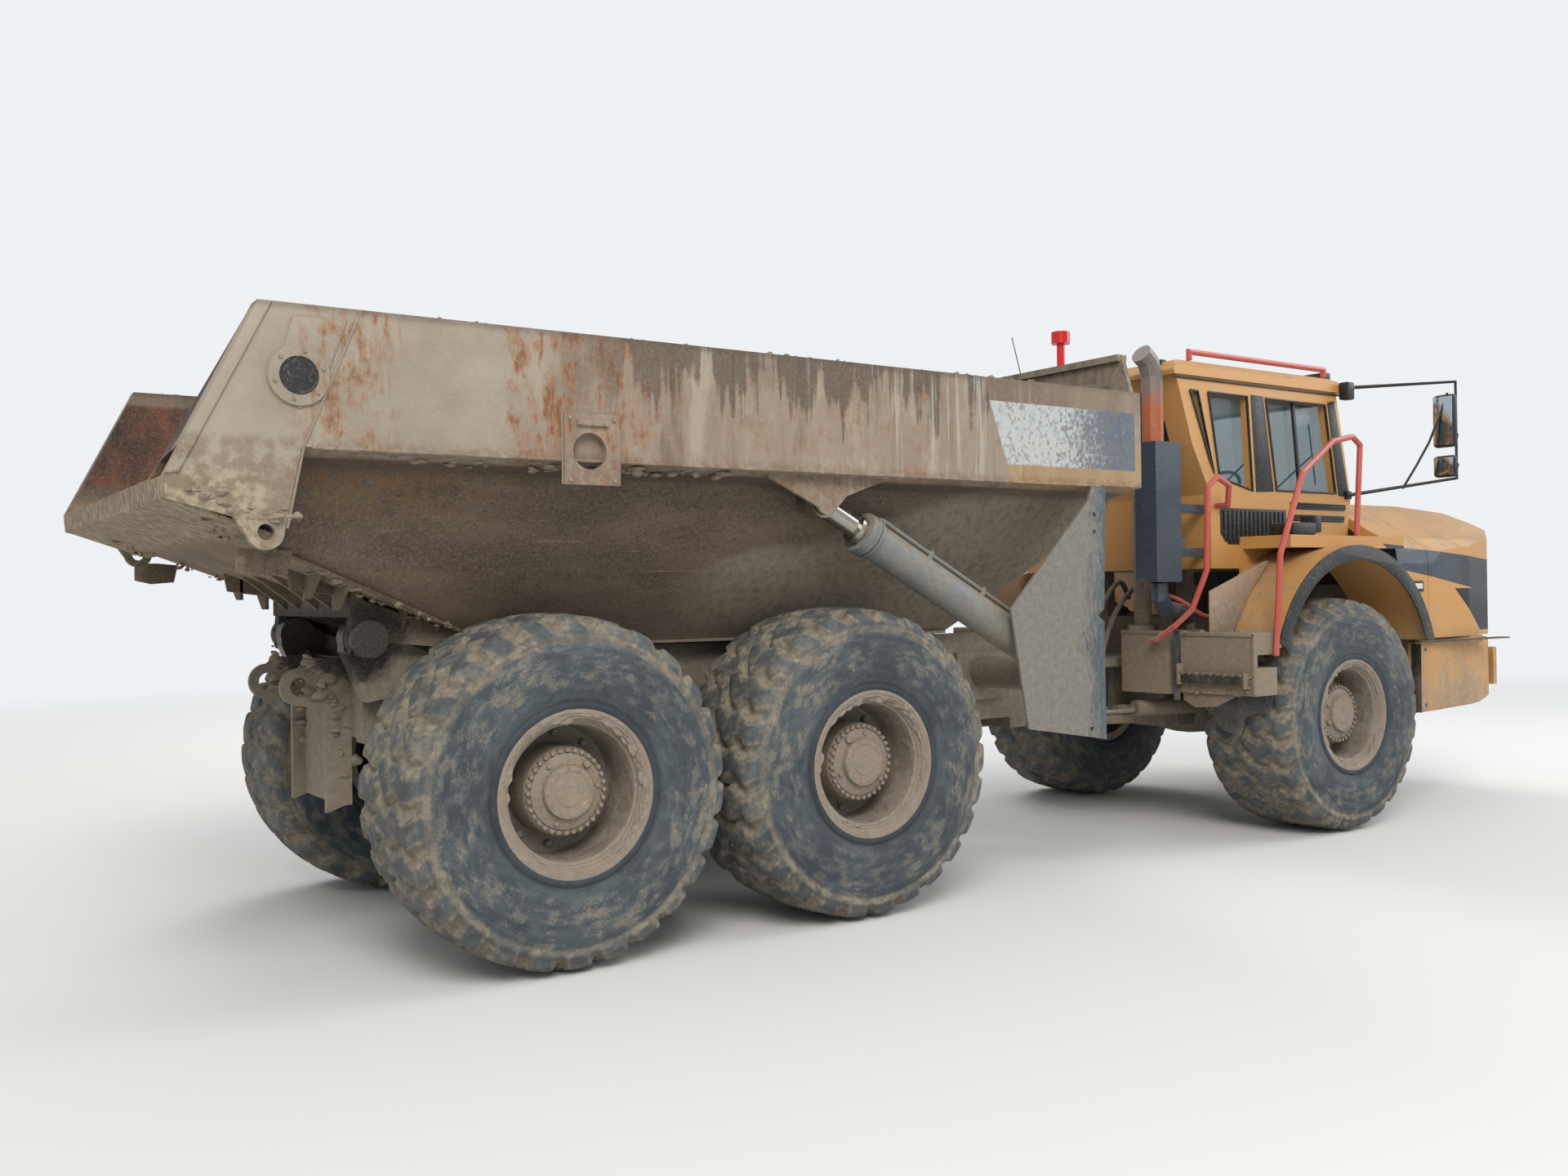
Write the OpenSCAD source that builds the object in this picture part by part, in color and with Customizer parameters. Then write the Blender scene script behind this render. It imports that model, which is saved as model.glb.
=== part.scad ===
// Articulated six-wheel dump truck, straight, bed down, in millimetres.
// X points forward, Y to the truck's left, Z up; the origin is on the ground under the middle.

/* [Wheelbase] */
// Distance from the ground's middle point to the nose of the bumper
nose_x = 5148.5; // [5100:1:5300]
// Place of the front axle
front_axle_x = 2384.5; // [2350:1:2420]
// Distance from the front axle back to the steering pivot
axle_to_pivot = 1210; // [1200:1:1220]
// Distance from the front axle back to the middle axle
axle_to_middle = 4173; // [4150:1:4200]
// Distance between the two bogie axles
bogie_pitch = 1670; // [1650:1:1690]
// Distance between the tyres' middle planes
track = 2216; // [2200:1:2240]

/* [Wheels] */
// Radius of a tyre out to the tips of its lugs
tyre_r = 805; // [795:1:812]
// Width of a tyre across its sidewalls
tyre_w = 725; // [700:1:735]
// Height of the tread lugs
lug_h = 42; // [20:1:60]
// Lugs round each shoulder
lug_count = 26; // [18:1:30]
// Radius of the rim's barrel
rim_r = 318; // [312:1:322]
// Radius of the rim's outer flange
flange_r = 388; // [380:1:394]
// Distance from the wheel's middle plane to the flange's face
flange_s = 332; // [322:1:338]
// Radius of the hub drum in the dish
drum_r = 200; // [180:1:215]
// Radius of the axle spindle in the hub
spindle_r = 100; // [90:1:110]

/* [Bed] */
// Height of the bed's side rails
rail_top = 2855; // [2800:1:2900]
// Lower edge of the side rails
rail_low = 2290; // [2250:1:2330]
// Half the bed's outer width
bed_hw = 1450; // [1430:1:1465]
// Width of the side rails from the load space to the outside
rail_w = 97; // [85:1:120]
// Front end of the rails
bed_front = 250; // [230:1:270]
// Underside of the bed's floor
floor_z = 1432; // [1428:1:1450]
// Half the floor's width
floor_hw = 600; // [560:1:620]
// Bulge of the tub's sides past a straight line
tub_bulge = 45; // [10:1:55]
// Thickness of the tub's walls
tub_t = 32; // [20:1:40]
// Thickness of the bed's front wall
front_t = 32; // [20:1:40]
// Distance that the headboard stands above the rails
headboard_h = 245; // [150:1:300]
// Place of the tipping hinge
hinge_x = -4150; // [-4170:1:-4130]
// Height of the tipping hinge
hinge_z = 1500; // [1490:1:1510]
// Radius of the tipping hinge's pins
hinge_r = 50; // [40:1:60]
// Radius of the bores in the tail lugs
lug_bore_r = 32; // [20:1:40]
// Radius of the holes in the side brackets
bracket_bore_r = 82; // [60:1:90]

/* [Tipping cylinders] */
// Distance from the bed's side in to the middle of the cylinders
tip_inset = 160; // [150:1:170]
// Place of the upper eye
tip_eye_x = -2020; // [-2040:1:-2000]
// Height of the upper eye
tip_eye_z = 2150; // [2140:1:2160]
// Distance between the two eyes at rest
tip_len = 2050; // [2040:1:2060]
// Slope of the cylinders at rest, in degrees from level
tip_slope = 28.3; // [28:0.1:28.6]
// Radius of the barrels
tip_barrel_r = 98; // [90:1:100]
// Radius of the first stage's tube
tip_stage_r = 78; // [60:1:84]
// Radius of the rods
tip_rod_r = 56; // [40:1:60]

/* [Cab] */
// Half the cab's width
cab_hw = 884; // [870:1:900]
// Thickness of the cab's walls
cab_t = 60; // [40:1:80]
// Underside of the cab
cab_low = 1820; // [1810:1:1830]
// Underside of the cab's roof
cab_top = 3130; // [3110:1:3150]
// Thickness of the glass
glass_t = 8; // [5:1:12]
// Running gap round the door
door_gap = 8; // [6:1:14]

/* [Bonnet] */
// Seam between the fixed cowl and the bonnet
seam_x = 3640; // [3620:1:3660]
// Half the bonnet's width at the seam
hood_hw = 1250; // [1240:1:1260]
// Lower edge of the bonnet
hood_low = 1290; // [1280:1:1300]
// Thickness of the bonnet's skin
hood_t = 50; // [30:1:60]

/* [Frames] */
// Thickness of the frame rails
rail_t = 100; // [60:1:110]
// Distance from the middle to the rear frame's rails
rear_rail_y = 400; // [380:1:410]
// Top of the rear frame
rear_frame_top = 1420; // [1400:1:1424]
// Bottom of the rear frame
rear_frame_low = 930; // [900:1:960]
// Distance from the middle to the front frame's rails
front_rail_y = 340; // [330:1:350]
// Height of the roll bearing's axis
roll_z = 955; // [945:1:965]
// Radius of the steering pins
pivot_r = 60; // [50:1:70]
// Height of the steering cylinders
steer_z = 850; // [845:1:860]

/* [Hidden] */
$fn = 48;
seat = 0.3;
ochre = "#c98a35";
dust = "#a08a68";
brown = "#5a4334";
steel = "#77736b";
black = "#26282b";
red = "#b8463c";
blue_grey = "#3c4654";
rubber = "#33383f";
pivot_x = front_axle_x - axle_to_pivot;
middle_axle_x = front_axle_x - axle_to_middle;
rear_axle_x = middle_axle_x - bogie_pitch;
tail_x = -nose_x;
load_hw = bed_hw - rail_w;
tip_y = bed_hw - tip_inset;
wheel_y = track / 2;

// Shape helpers
module both() {
    children();
    mirror([0, 1, 0]) children();
}
// A plate whose outline is drawn in X and Z, between two distances along Y
module side_plate(points, y0, y1) {
    translate([0, y1, 0]) rotate([90, 0, 0]) linear_extrude(y1 - y0) polygon(points);
}
// A bar whose outline is drawn in Y and Z, between two places along X
module cross_bar(points, x0, x1) {
    translate([x0, 0, 0]) rotate([90, 0, 90]) linear_extrude(x1 - x0) polygon(points);
}
module block(x0, x1, y0, y1, z0, z1) {
    translate([x0, y0, z0]) cube([x1 - x0, y1 - y0, z1 - z0]);
}
module rod_y(x, z, r, y0, y1) {
    translate([x, y1, z]) rotate([90, 0, 0]) cylinder(r = r, h = y1 - y0, $fn = r > 500 ? 180 : 48);
}
module rod_x(y, z, r, x0, x1) {
    translate([x0, y, z]) rotate([0, 90, 0]) cylinder(r = r, h = x1 - x0);
}
module bar(a, b, r) {
    d = b - a;
    translate(a) rotate([0, acos(d[2] / norm(d)), atan2(d[1], d[0])]) cylinder(r = r, h = norm(d));
}
// A bent tube of eight or more sides, mitred at each point of its path
function unit(v) = v / norm(v);
function bend_normal(points, i) = i == 0 ? unit(points[1] - points[0])
    : i == len(points) - 1 ? unit(points[i] - points[i - 1])
    : unit(unit(points[i + 1] - points[i]) + unit(points[i] - points[i - 1]));
function next_ring(ring, run, p, n) = [for (v = ring) v + run * (((p - v) * n) / (run * n))];
function rings(points, i, ring) = i == len(points) ? []
    : let (next = next_ring(ring, unit(points[i] - points[i - 1]), points[i], bend_normal(points, i)))
        concat(next, rings(points, i + 1, next));
function first_ring(points, r, sides) =
    let (n = bend_normal(points, 0), u = unit(cross(n, abs(n[2]) > 0.9 ? [1, 0, 0] : [0, 0, 1])), w = cross(n, u))
        [for (j = [0 : sides - 1]) points[0] + r * (cos(j * 360 / sides) * u + sin(j * 360 / sides) * w)];
module tube_path(points, r, sides = 8) {
    start = first_ring(points, r, sides);
    last = (len(points) - 1) * sides;
    polyhedron(concat(start, rings(points, 1, start)), concat(
        [[for (j = [0 : sides - 1]) j]], [[for (j = [sides - 1 : -1 : 0]) last + j]],
        [for (i = [0 : sides : last - 1], j = [0 : sides - 1])
            [i + j, i + sides + j, i + sides + (j + 1) % sides, i + (j + 1) % sides]]));
}
function mirrored(half) = concat(half, [for (i = [len(half) - 1 : -1 : 0]) [-half[i][0], half[i][1]]]);
function middle(points) = [for (k = [0, 1]) (min([for (p = points) p[k]]) + max([for (p = points) p[k]])) / 2];
function grown(points, by) = let (m = middle(points))
    [for (p = points) [p[0] + sign(p[0] - m[0]) * by, p[1] + sign(p[1] - m[1]) * by]];

// Tyre with a row of lugs on each shoulder, in the wheel's own frame, its axis along Z
tyre_hw = tyre_w / 2;
tyre_root = tyre_r - lug_h;
tyre_profile = [[rim_r + seat, -295.3], [flange_r - 9, -303.3], [flange_r - 8, -322], [430, -345],
    [560, -tyre_hw], [660, -345], [735, -300], [tyre_root, -240], [tyre_root, 240], [735, 300],
    [660, 345], [560, tyre_hw], [430, 345], [flange_r + 3, 330], [flange_r + 1, 311.3], [350, 303.2],
    [rim_r + seat, 295.3]];
module lug_band() {
    pitch = 360 / lug_count;
    difference() {
        linear_extrude(290) polygon([for (i = [0 : lug_count - 1], c = [[0, tyre_root - 12], [0.06, tyre_r],
            [0.56, tyre_r], [0.64, tyre_root - 12]]) let (a = (i + c[0]) * pitch) [c[1] * cos(a), c[1] * sin(a)]]);
        translate([0, 0, -1]) cylinder(r = tyre_root - 20, h = 292);
    }
}
module tyre_shape() {
    rotate_extrude() polygon(tyre_profile);
    translate([0, 0, 10]) lug_band();
    rotate([0, 0, 180 / lug_count]) translate([0, 0, -300]) lug_band();
}
// Rim with its hub drum, outer side towards +Z
rim_profile = [[spindle_r + seat, -210], [190, -210], [190, -40], [rim_r - 14, 10], [rim_r - 14, -310],
    [flange_r - 10, -318], [flange_r - 10, -304], [rim_r, -296], [rim_r, 296], [350, 304],
    [flange_r, 312], [flange_r, flange_s], [345, flange_s], [rim_r - 14, 316], [rim_r - 14, 50],
    [drum_r, 20], [drum_r, 214], [185, 226], [120, 226], [116, 252], [0, 252], [0, 90],
    [spindle_r + seat, 90]];
module rim_shape() {
    rotate_extrude() polygon(rim_profile);
}
// Wheels by name: place along X, side
wheels = [["fr", front_axle_x, -1], ["fl", front_axle_x, 1], ["mr", middle_axle_x, -1],
    ["ml", middle_axle_x, 1], ["rr", rear_axle_x, -1], ["rl", rear_axle_x, 1]];
module at_wheel(w) {
    translate([w[1], w[2] * wheel_y, tyre_r]) rotate([w[2] < 0 ? 90 : -90, 0, 0]) children();
}
module tyre(i) color(rubber) at_wheel(wheels[i]) tyre_shape();
module rim(i) color(dust) at_wheel(wheels[i]) rim_shape();

// Axle housing with its two spindles and the bulge of the gear case
axle_tube_r = 120;
module axle_housing(x) {
    translate([x, 0, tyre_r]) rotate([90, 0, 0]) rotate_extrude()
        polygon([[0, -wheel_y - 80], [spindle_r, -wheel_y - 80], [spindle_r, -wheel_y + 215],
            [165, -wheel_y + 215], [165, -wheel_y + 260], [axle_tube_r, -wheel_y + 290], [axle_tube_r, -330],
            [210, -190], [225, -60], [225, 60], [210, 190], [axle_tube_r, 330], [axle_tube_r, wheel_y - 290],
            [165, wheel_y - 260],
            [165, wheel_y - 215], [spindle_r, wheel_y - 215], [spindle_r, wheel_y + 80], [0, wheel_y + 80]]);
}
module front_axle() color(dust) {
    axle_housing(front_axle_x);
    both() side_plate([[front_axle_x - 60, tyre_r], [front_axle_x + 60, tyre_r],
        [front_axle_x + 620, 770], [front_axle_x + 620, 690]], 250, 300);
}
module rear_axles() color(dust)
    for (x = [middle_axle_x, rear_axle_x]) axle_housing(x);

// Front frame: rails, cross members, cab mounts, axle links' brackets and the pivot's two plates
front_rail_t = 80;
pivot_plate_t = 60;
pivot_top = roll_z + 175;
pivot_bot = roll_z - 175;
module pivot_plate(z) translate([0, 0, z]) difference() {
    union() {
        linear_extrude(pivot_plate_t) polygon([[pivot_x, 150], [1705, 300], [1705, -300], [pivot_x, -150]]);
        translate([pivot_x, 0, 0]) cylinder(r = 150, h = pivot_plate_t);
    }
    translate([pivot_x, 0, -1]) cylinder(r = pivot_r + seat, h = pivot_plate_t + 2);
}
module front_frame() color(dust) {
    y1 = front_rail_y + front_rail_t;
    both() side_plate([[1790, 700], [1790, 1200], [2050, 1300], [2720, 1300], [2900, 1100], [4850, 1100],
        [4850, 820], [3060, 820], [2700, 1010], [2090, 1010], [1960, 700]], front_rail_y, y1);
    block(1700, 1800, 40 - y1, y1 - 40, 690, 1200);
    block(4700, 4850, -y1, y1, 820, 1100);
    block(2905, 2945, -y1, y1, 830, 1090);
    pivot_plate(pivot_top);
    pivot_plate(pivot_bot - pivot_plate_t);
    block(1560, 1705, -30, 30, pivot_bot - 1, pivot_top + 1);
    both() for (x = [1900, 2620]) block(x, x + 90, front_rail_y, y1, 1150, cab_low - seat);
    both() block(2960, 3040, 300 + seat, front_rail_y + 1, 700, 860);
    both() {
        difference() {
            block(steer_foot[0] - 55, steer_foot[0] + 50, y1 - 1, 665, steer_z - 100, 1090);
            block(steer_foot[0] - 60, steer_foot[0] + 60, 500, 670, steer_z - 70, steer_z + 70);
        }
        translate([steer_foot[0], steer_foot[1], steer_z - 90]) cylinder(r = steer_pin_r, h = 180);
    }
}
module powertrain() color(steel) {
    side = front_rail_y - seat;
    block(2960, 4350, -side, side, 870, 1700);
    block(1830, 2880, -side, side, 1050, 1480);
    block(1830, 2090, -220, 220, 720, 1051);
    block(4500, 4640, -500, 500, 1100 + seat, 2050);
}

// Outline of the nose seen from above, as half widths along X
hood_past = hood_hw + 50;
nose_plan = [[seam_x - 440, hood_hw], [seam_x + 60, hood_hw], [nose_x - 848.5, hood_hw - 55],
    [nose_x - 408.5, hood_hw - 150], [nose_x - 148.5, hood_hw - 310], [nose_x - 48.5, hood_hw - 490],
    [nose_x - 14, hood_hw - 750], [nose_x, hood_hw - 1000]];
hood_end = nose_x - 8.5;
nose_past = nose_x + 51.5;
function plan(points, dx, dy) = [for (p = concat([for (p = points) [p[0] - dx, p[1] - dy]],
    [for (i = [len(points) - 1 : -1 : 0]) [points[i][0] - dx, dy - points[i][1]]])) p];
module nose_column(dx, dy, z0, z1)
    translate([0, 0, z0]) linear_extrude(z1 - z0) polygon(plan(nose_plan, dx, dy));
// Section of cowl and bonnet, half width and height
hood_half = [[hood_hw, hood_low], [hood_hw, 1850], [hood_hw - 15, 1950], [1130, 2040], [1000, 2110],
    [760, 2270], [600, 2330], [0, 2345]];
hood_side = [[3000, hood_low], [nose_x - 53.5, hood_low], [nose_x - 48.5, 1700], [nose_x - 68.5, 1900],
    [nose_x - 138.5, 2060], [nose_x - 258.5, 2190], [nose_x - 448.5, 2280], [nose_x - 848.5, 2330],
    [seam_x, 2345], [3000, 2345]];
module nose_body(t) intersection() {
    cross_bar(mirrored([for (p = hood_half) [max(p[0] - t, 0), p[1] - (p[1] > hood_low ? t : 1)]]),
        3100, nose_past);
    nose_column(t, t, hood_low - 2, 2400);
    side_plate([for (p = hood_side) [p[0] - (p[0] > 4000 ? t : 0), p[1] - (p[1] > hood_low ? t : 1)]],
        -hood_past, hood_past);
}
module nose_skin(x0, x1) intersection() {
    difference() {
        nose_body(0);
        nose_body(hood_t);
    }
    block(x0, x1, -hood_past, hood_past, hood_low, 2400);
}
hood_axis_x = nose_x - 63.5;
hood_axis_z = 1280;
arch_x = 2460;
arch_z = 1017;
arch_r = 953;
arch_t = 38;
cowl_x = 3240;
module cowl() color(ochre) difference() {
    nose_skin(cowl_x, seam_x - 6);
    rod_y(arch_x, arch_z, arch_r + seat, -hood_past, hood_past);
}
module lamp_zone(by) both()
    block(4060 - by, 4780 + by, hood_hw - 350, hood_past, 1330 - by, 1660 + by);
grille_x = nose_x - 198.5;
grille_hw = 640;
module grille_zone(by) block(grille_x, nose_past, -grille_hw - by, grille_hw + by, 1400 - by, 1900 + by);
module hood() color(ochre) {
    difference() {
        nose_skin(seam_x, hood_end);
        lamp_zone(seat);
        grille_zone(seat);
    }
    both() difference() {
        block(hood_axis_x - 30, hood_axis_x + 10, 300, 340, hood_axis_z - 12, hood_low + 1);
        rod_y(hood_axis_x, hood_axis_z, hood_pin_r + seat, 299, 341);
    }
}
hood_pin_r = 6;
module head_lamps() color(black) intersection() {
    nose_skin(seam_x, hood_end);
    lamp_zone(0);
}
module hood_grille() color(black) intersection() {
    nose_skin(seam_x, hood_end);
    union() {
        for (z = [1400 : 50 : 1890]) block(grille_x, nose_past, -grille_hw, grille_hw, z, z + 22);
        for (y = [-grille_hw : 210 : grille_hw - 20]) block(grille_x, nose_past, y, y + 20, 1400, 1900);
    }
}
bumper_x0 = 3450;
module front_bumper() color(ochre) {
    intersection() {
        difference() {
            nose_column(0, 0, 700, 1300);
            nose_column(60, 60, 690, 1310);
        }
        side_plate([[bumper_x0, 740], [nose_x - 648.5, 760], [nose_x - 198.5, 840], [nose_past, 900],
            [nose_past, 1200], [nose_x - 88.5, 1260], [bumper_x0, 1260]], -hood_past, hood_past);
    }
    block(nose_x - 298.5 + seat, nose_x - 248.5, 170 - hood_hw, hood_hw - 170, 880, 1180);
    both() {
        block(3700, 4500, hood_hw - 120, hood_hw - 65, 1240, hood_low - seat);
        block(hood_axis_x - 35, hood_axis_x + 6, 340 + seat, 380, 1200, hood_axis_z - 8);
        rod_y(hood_axis_x, hood_axis_z, 9, 340 + seat, 380);
        block(hood_axis_x - 9, hood_axis_x + 6, 340 + seat, 380, hood_axis_z - 9, hood_axis_z);
        rod_y(hood_axis_x, hood_axis_z, hood_pin_r, 305, 341);
    }
}

// Fenders: arch over the wheel and the deck beside the cab
module front_fenders() color(ochre) both() {
    y0 = cab_hw + seat;
    intersection() {
        difference() {
            rod_y(arch_x, arch_z, arch_r, y0, 1440);
            rod_y(arch_x, arch_z, arch_r - arch_t, y0 - 1, 1441);
        }
        block(1400, 3500, y0, 1441, hood_low, 2100);
    }
    block(1900, cowl_x - seat, y0, 1300, 1955, 2040);
    side_plate([[1900, 1700], [1900, 1956], [2400, 1956]], y0, y0 + 30);
}

// Cab: outline in X and Z, and its windows
cab_outline = [[1600, cab_low], [1600, 2330], [1420, 2660], [1260, cab_top], [3060, cab_top],
    [3230, 2345], [3140, cab_low]];
cab_room = [[1665, cab_low + cab_t], [1665, 2345], [1485, 2675], [1345, cab_top - cab_t],
    [3010, cab_top - cab_t], [3165, 2345], [3085, cab_low + cab_t]];
rear_quarter = [[1400, 3030], [1480, 3030], [1640, 2480], [1600, 2560]];
rear_side = [[1590, 3030], [2010, 3030], [2060, 2370], [1700, 2450]];
front_side = [[2220, 3030], [2920, 3030], [3040, 2380], [2330, 2380]];
door_hole = [[2150, 3066], [2965, 3066], [3080, 2345], [3048, 2054], [2150, 2054]];
door_window = [[2260, 2990], [2900, 2990], [2975, 2480], [2930, 2250], [2260, 2250]];
module cab_shell() color(ochre) difference() {
    side_plate(cab_outline, -cab_hw, cab_hw);
    side_plate(cab_room, -cab_hw + cab_t, cab_hw - cab_t);
    for (w = [rear_quarter, rear_side]) side_plate(w, -cab_hw - 1, cab_hw + 1);
    side_plate(front_side, -cab_hw - 1, -cab_hw + cab_t + 1);
    side_plate(door_hole, cab_hw - cab_t - 1, cab_hw + 1);
    block(3000, 3300, -780, 780, 2400, 3050);
    block(1200, 1520, -700, 700, 2700, 3050);
}
module pane(w, s) {
    y = cab_hw - cab_t - seat;
    if (s > 0) side_plate(grown(w, 25), y - glass_t, y);
    else side_plate(grown(w, 25), -y, -y + glass_t);
}
module cab_glass() color("#5d7f8c") {
    for (w = [rear_quarter, rear_side], s = [-1, 1]) pane(w, s);
    pane(front_side, -1);
    screen_x = function (z) 3010 + (cab_top - cab_t - z) * (3165 - 3010) / (cab_top - cab_t - 2345) - 1;
    side_plate([[screen_x(3068), 3068], [screen_x(2360), 2360], [screen_x(2360) - glass_t, 2360],
        [screen_x(3068) - glass_t, 3068]], -800, 800);
    back_x = function (z) 1485 - (z - 2675) * (1485 - 1345) / (cab_top - cab_t - 2675) + 1;
    side_plate([[back_x(3068), 3068], [back_x(2680), 2680], [back_x(2680) + glass_t, 2680],
        [back_x(3068) + glass_t, 3068]], -720, 720);
}
module cab_roof() color(ochre) intersection() {
    side_plate([[1222, cab_top + seat], [1215, 3160], [1250, 3225], [1500, 3268], [2850, 3262], [3100, 3215],
        [3165, 3150], [3150, cab_top + seat]], -905, 905);
    cross_bar(mirrored([[905, cab_top], [905, 3190], [860, 3235], [700, 3270]]), 1200, 3200);
}
module cab_seat() color(black) {
    floor_top = cab_low + cab_t + seat;
    block(2050, 2500, -230, 230, floor_top, 2150);
    block(2000, 2540, -260, 260, 2150, 2280);
    side_plate([[2000, 2279], [2120, 2279], [2040, 2960], [1930, 2960]], -250, 250);
}
module cab_console() color(black) {
    floor_top = cab_low + cab_t + seat;
    side_plate([[2900, floor_top], [3075, floor_top], [3120, 2250], [3130, 2340], [2980, 2400],
        [2880, 2250]], -700, 700);
    bar([2940, 0, 2300], [2771, 0, 2435], 35);
    translate([2770, 0, 2436]) rotate([0, -51, 0]) rotate_extrude($fn = 40) translate([215, 0])
        circle(r = 14, $fn = 12);
    bar([2770, -212, 2436], [2770, 212, 2436], 12);
}
door_axis_x = 3090;
door_axis_y = cab_hw + 16;
door_panel = [[door_hole[0][0] + door_gap, door_hole[0][1] - door_gap],
    [door_hole[1][0] - door_gap, door_hole[1][1] - door_gap], [door_hole[2][0] - door_gap - 2, door_hole[2][1]],
    [door_hole[3][0] - door_gap, door_hole[3][1] + door_gap], [door_hole[4][0] + door_gap, door_hole[4][1] + door_gap]];
module cab_door() color(ochre) {
    difference() {
        side_plate(door_panel, cab_hw - cab_t, cab_hw);
        side_plate(door_window, cab_hw - cab_t - 1, cab_hw + 1);
    }
    for (z = [2110, 2500]) {
        block(door_axis_x - 110, door_axis_x - 70, cab_hw - 1, cab_hw + 16, z, z + 50);
        block(door_axis_x - 71, door_axis_x, cab_hw + 1, cab_hw + 16, z, z + 50);
        translate([door_axis_x, door_axis_y, z]) cylinder(r = 15, h = 50);
    }
}
module door_glass() color("#5d7f8c") pane(door_window, 1);

// Mirrors, handrails and the beacon
module mirrors() color(black) both() {
    corner_top = [3640, 1480, 3180];
    corner_low = [3640, 1480, 2470];
    tube_path([[3130, 918, 3170], corner_top, corner_low, [3180, 905, 2370]], 14);
    block(3080, 3160, 905 + seat, 925, 3145, 3190);
    block(3150, 3205, cab_hw + seat, 912, 2340, 2400);
    block(3575, 3640, 1330, 1500, 2700, 3090);
    block(3585, 3640, 1330, 1500, 2480, 2640);
}
module handrails() color(red) {
    r = 20;
    tube_path([[1500, -1462, 1240], [1560, -1462, 1900], [1900, -1400, 2450], [2350, -1330, 2690],
        [2640, -1290, 2740], [2760, -1270, 2690], [2740, -1250, 2120], [2740, -1250, 2040 + seat]], r);
    tube_path([[1500, 1462, 1240], [1500, 1462, 2100], [1640, 1400, 2260], [1980, 1280, 2260],
        [1980, 1280, 2040 + seat]], r);
    both() tube_path([[1660, cab_hw + seat, 2250], [1660, 980, 2250], [1600, 1040, 2380], [1450, 1060, 2430],
        [1350, 1060, 2360], [1340, 1050, 1800], [1300, 960, 1540], [1240, 860, 1430], [1225, 720, 1340],
        [1245, 660, 1330], [tank_x0 - seat, 660, 1330]], r);
    both() tube_path([[1440, 850, 3242], [1440, 850, 3300], [2960, 850, 3300], [2960, 850, 3242]], r);
}
module beacon() color(red) {
    translate([1550, 450, 3268 + seat]) cylinder(r = 30, h = 300);
    translate([1550, 450, 3568]) cylinder(r = 70, h = 90);
}
shield_x = [1050, 1300];
shield_top = 2670;
stack_x = 1130;
stack_r = 72;
module exhaust() color(blue_grey) {
    block(shield_x[0], shield_x[1], -880, -700, 1730, shield_top);
    for (z = [1900, 2200]) block(shield_x[1] - 1, 1600 - seat, -830, -800, z, z + 60);
    tube_path([[stack_x, -790, shield_top + seat], [stack_x, -790, 3120], [stack_x - 40, -790, 3215],
        [stack_x - 105, -790, 3262]], stack_r, 12);
    tube_path([[1175, -790, 1730 - seat], [1190, -780, 1630], [1290, -740, 1550], [1560, -700, 1510],
        [1700, -600, 1490], [1790, -480, 1480]], 58, 12);
}
tank_x0 = 1310;
tank_top = 1390;
module side_tanks() color(ochre) both()
    block(tank_x0, 1700 - seat, 330, 740, 965, tank_top);
step_x = [1310, 1540];
step_z = [985, 1385];
module step_boxes() color(ochre) both() difference() {
    union() {
        block(step_x[0], step_x[1], 850, 1440, step_z[0], step_z[1]);
        block(1400, 1500, 740 + seat, 851, 1000, 1100);
    }
    block(step_x[0] + 30, step_x[1] + 1, 900, 1441, 1165, 1250);
}
module filler_pipes() color(steel) {
    translate([1410, -440, tank_top + seat]) cylinder(r = 105, h = 40);
    translate([1410, -440, tank_top + 39]) cylinder(r = 60, h = 880);
    tube_path([[1410, -440, 1600], [1380, -560, 1800], [1330, -620, 2000]], 34);
}

// Hitch: pivot column, steering ears, roll bearing flange and spigot
hitch_flange_x = 700;
spigot_r = 120;
steer_ear = [900, 380];
steer_eye_h = 60;
module hitch_ring() color(steel) {
    translate([pivot_x, 0, pivot_bot + seat]) cylinder(r = 140, h = pivot_top - pivot_bot - 2 * seat);
    translate([pivot_x, 0, pivot_bot - pivot_plate_t - 10])
        cylinder(r = pivot_r, h = pivot_top - pivot_bot + 2 * pivot_plate_t + 20);
    block(hitch_flange_x + 59, pivot_x, -135, 135, pivot_bot + 20, pivot_top - 20);
    rod_x(0, roll_z, 230, hitch_flange_x, hitch_flange_x + 60);
    rod_x(0, roll_z, spigot_r, hitch_flange_x - 280, hitch_flange_x + 1);
    both() for (z = [steer_z - steer_eye_h / 2 - 5 - 30, steer_z + steer_eye_h / 2 + 5]) translate([0, 0, z])
        linear_extrude(30) union() {
            polygon([[770, 100], [1050, 100], [steer_ear[0] + 55, steer_ear[1]], [steer_ear[0] - 55, steer_ear[1]]]);
            translate(steer_ear) circle(r = 62);
        }
}
// Steering cylinders: pivot on the front frame, eye at the hitch ears
steer_foot = [2120, 600];
steer_pin_r = 25;
steer_run = [steer_ear[0] - steer_foot[0], steer_ear[1] - steer_foot[1]];
steer_len = norm(steer_run);
steer_angle = atan2(steer_run[1], steer_run[0]);
module at_steer(s) {
    translate([steer_foot[0], s * steer_foot[1], steer_z]) rotate([0, 0, s * steer_angle])
        rotate([0, 90, 0]) children();
}
module steer_barrel(s) color(steel) at_steer(s) difference() {
    union() {
        translate([0, 0, 40]) cylinder(r = 55, h = steer_len - 40 - 405);
        rotate([0, 90, 0]) translate([0, 0, -60]) cylinder(r = 52, h = 120);
    }
    translate([0, 0, 65]) cylinder(r = 32 + seat, h = steer_len);
    rotate([0, 90, 0]) translate([0, 0, -70]) cylinder(r = steer_pin_r + seat, h = 140);
}
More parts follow.
